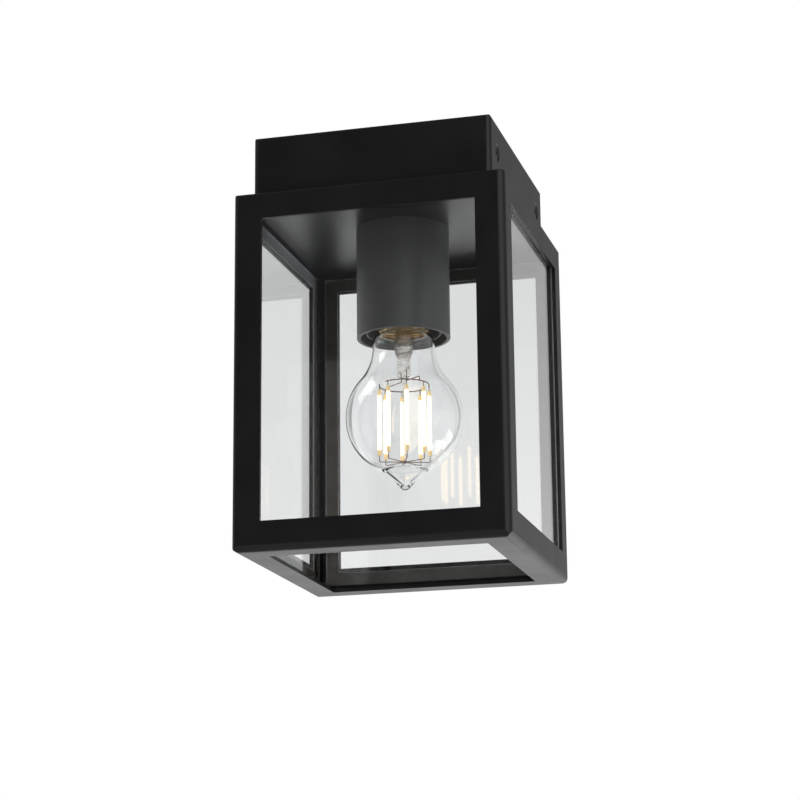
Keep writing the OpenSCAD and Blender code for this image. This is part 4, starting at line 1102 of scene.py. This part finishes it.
def round_ended(radius, low, high):
    """The profile of an upright rod whose ends are quarters of an ellipse, 0.6 of its radius
    high. A quarter starts just off the axis."""
    cap = np.linspace(0.05, np.pi / 2, 6)
    end = 0.6 * radius
    lower = np.column_stack([radius * np.sin(cap), low + end * (1 - np.cos(cap))])
    upper = np.column_stack([radius * np.sin(cap[::-1]), high - end * (1 - np.cos(cap[::-1]))])
    return np.vstack([lower, upper])


rod_grid = turned(round_ended(rod_r, rod_middle_z - rod_half, rod_middle_z + rod_half), 24)
pin_grid = turned(round_ended(pin_r, rod_low.z, rod_high.z), 12)
rod_skins = []
for turn in rod_turns:
    place = [rod_circle_r * math.cos(turn), rod_circle_r * math.sin(turn), 0.0]
    rod_skins += [skin(rod_grid + place), skin(pin_grid + place)]
make_piece("light_rods", rod_skins, "filaments", "bulb", sharp=60.0)

# %% [markdown]
# ## Wires
# Above the rods two half rings carry four rods each, and a feed wire runs from each half ring to
# the stem. Below them a star of eight wires runs out from a hub. All are bent like real ones,
# with small radii at their corners, so each is a tube along a path with soft corners.

# %% Upper wires
ring_wire_r = 0.3 * mm
drop_r = 0.24 * mm
on_pin = 0.3 * mm              # how far a wire overlaps the pin that it is welded to
in_pinch = 3.0 * mm            # how far a feed wire runs up into the pinch
ring_z = rod_high.z + 0.5 * mm
feed_z = ring_z + 2.25 * mm    # where a feed wire runs level
feed_start = 2.2 * mm          # how far from the axis it leaves the stem
half_rods = rod_count // 2
rod_step = 2 * np.pi / rod_count
overrun = math.radians(6.0)    # how far a half ring goes past its last rods
feed_turn = math.radians(9.5)  # from the middle of the half ring to the feed wire


def spoke(turn, corners, radius, bend):
    """A wire in the upright plane at an angle round the axis, from corners of (r, z)."""
    r, z = soft_corners(corners, bend, closed=False).T
    path = np.column_stack([r * math.cos(turn), r * math.sin(turn), z])
    return skin(tube(path, radius, (-math.sin(turn), math.cos(turn), 0.0)))


upper_skins = []
for half in range(2):
    start = first_rod + half * np.pi
    a = start - overrun + np.linspace(0.0, rod_step * (half_rods - 1) + 2 * overrun, 60)
    arc = np.column_stack([
        rod_circle_r * np.cos(a), rod_circle_r * np.sin(a), np.full(len(a), ring_z)
    ])
    upper_skins.append(skin(tube(arc, ring_wire_r, (0.0, 0.0, 1.0))))
    for k in range(half_rods):
        drop = [(rod_circle_r, ring_z), (rod_circle_r, rod_high.z - on_pin)]
        upper_skins.append(spoke(start + k * rod_step, drop, drop_r, 0.1 * mm))
    feed = [(rod_circle_r, ring_z), (rod_circle_r, feed_z), (feed_start, feed_z),
            (feed_start, pinch_low + in_pinch)]
    upper_skins.append(spoke(start + 1.5 * rod_step + feed_turn, feed, drop_r, 0.9 * mm))
make_piece("upper_wire_set", upper_skins, "upper_wires", "bulb", sharp=60.0)

# %% Lower wires
hub_r = 1.4 * mm
in_hub = 0.4 * mm  # how far from the axis a wire begins, inside the hub
star_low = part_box("lower_wires")[0]
star_z = rod_low.z - 1.0 * mm
hub_half = star_z - star_low.z
hub = turned(round_ended(hub_r, star_z - hub_half, star_z + hub_half), 32)
lower_skins = [skin(hub)]
for turn in rod_turns:
    corners = [(in_hub, star_z), (rod_circle_r, star_z), (rod_circle_r, rod_low.z + on_pin)]
    lower_skins.append(spoke(turn, corners, drop_r, 0.5 * mm))
make_piece("lower_wire_set", lower_skins, "lower_wires", "bulb", sharp=60.0)

# %% [markdown]
# ## Contact and insulator
# The cap's end is closed with black glass, which was poured in round the tin contact in its
# middle. Both are turned, from an open profile that starts and ends beside the axis.

# %% Contact and insulator
contact_low, contact_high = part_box("bulb_contact")
contact_r = contact_high.x
nose_r = 3.2 * mm
nose_under = contact_low.z + 0.7 * mm
contact_rounds = [r * mm for r in (0.05, 0.5, 0.2, 0.25, 0.1, 0.05)]
contact_profile = soft_corners([
    (near_axis, contact_high.z), (nose_r, contact_high.z), (nose_r, nose_under),
    (contact_r, nose_under), (contact_r, contact_low.z), (near_axis, contact_low.z),
], contact_rounds, closed=False)
make_piece("contact_button", [skin(turned(contact_profile))], "bulb_contact", "bulb")
glaze_low, glaze_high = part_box("bulb_insulator")
glaze_hole_r = cap_hole_r - 0.1 * mm
glaze_rounds = [r * mm for r in (0.05, 0.6, 0.3, 0.05, 0.1, 0.05)]
glaze_profile = soft_corners([
    (near_axis, glaze_high.z), (contact_r + 0.6 * mm, glaze_high.z), (glaze_high.x, cap_high.z),
    (glaze_hole_r, cap_high.z - 0.1 * mm), (glaze_hole_r, glaze_low.z),
    (near_axis, glaze_low.z),
], glaze_rounds, closed=False)
make_piece("glaze_bead", [skin(turned(glaze_profile))], "bulb_insulator", "bulb")

# %% [markdown]
# ## Leads
# Three leads run from the lampholder and the earth stud to the terminal block. Their routes are
# the listed points of the CAD model, in millimetres. A smooth curve goes through them: on
# each stretch it is the cubic whose slope at a point is half the step between its neighbours.


# %% Leads along their routes
def smooth_route(points, steps=8):
    """The curve b + t(c-a)/2 + t²(2a-5b+4c-d)/2 + t³(3b-a-3c+d)/2 on each stretch from b to c,
    where a comes before b and d after c."""
    p = np.asarray(points) * mm
    a = np.vstack([p[:1], p[:-2]])[:, None]
    b = p[:-1][:, None]
    c = p[1:][:, None]
    d = np.vstack([p[2:], p[-1:]])[:, None]
    t = (np.arange(steps) / steps)[None, :, None]
    curve = 0.5 * (2 * b + (c - a) * t + (2 * a - 5 * b + 4 * c - d) * t ** 2
                   + (3 * b - a - 3 * c + d) * t ** 3)
    return np.vstack([curve.reshape(-1, 3), p[-1:]])


def holder_route(side):
    """From a terminal post of the lampholder up through the nipple; side is -1 or 1."""
    return [(side * x, 0.0, z) for x, z in [
        (8.0, -54.7), (8.0, -51.4), (7.3, -49.6), (5.6, -48.3), (3.8, -47.0), (2.2, -45.0),
        (1.5, -42.0), (1.5, -32.0), (1.5, -24.0),
    ]]


def pole_route(pole):
    """Straight into a pole of the terminal block; pole is -1, 0 or 1."""
    return [(x, 10.0 * pole, -28.0) for x in (20.0, 22.5, 26.5)]


lead_r = 1.2 * mm
neutral_route = holder_route(1) + [
    (1.7, 0.0, -20.0), (3.5, 1.5, -17.5), (7.0, 4.0, -16.8), (11.0, 7.0, -18.5),
    (14.5, 9.3, -22.0), (17.2, 10.0, -26.0),
] + pole_route(1)
live_route = holder_route(-1) + [
    (-1.3, 0.0, -20.0), (0.5, -1.5, -16.5), (4.5, -4.0, -15.0), (9.5, -7.0, -17.0),
    (13.8, -9.3, -21.3), (17.0, -10.0, -25.8),
] + pole_route(-1)
earth_route = [
    (0.0, 27.0, -32.1), (0.0, 22.5, -32.1), (1.0, 17.5, -31.1), (4.0, 11.0, -29.6),
    (9.0, 5.0, -28.5), (15.0, 1.0, -28.0),
] + pole_route(0)
# Each route with a direction that it never runs along, from which its round section is built.
routes = {"neutral_lead": (neutral_route, (0.1, 1.0, 0.0)),
          "live_lead": (live_route, (0.1, 1.0, 0.0)),
          "earth_lead": (earth_route, (0.0, 0.0, 1.0))}
for node, (route, side) in routes.items():
    make_piece(node + "_cover", [skin(tube(smooth_route(route), lead_r, side))], node)
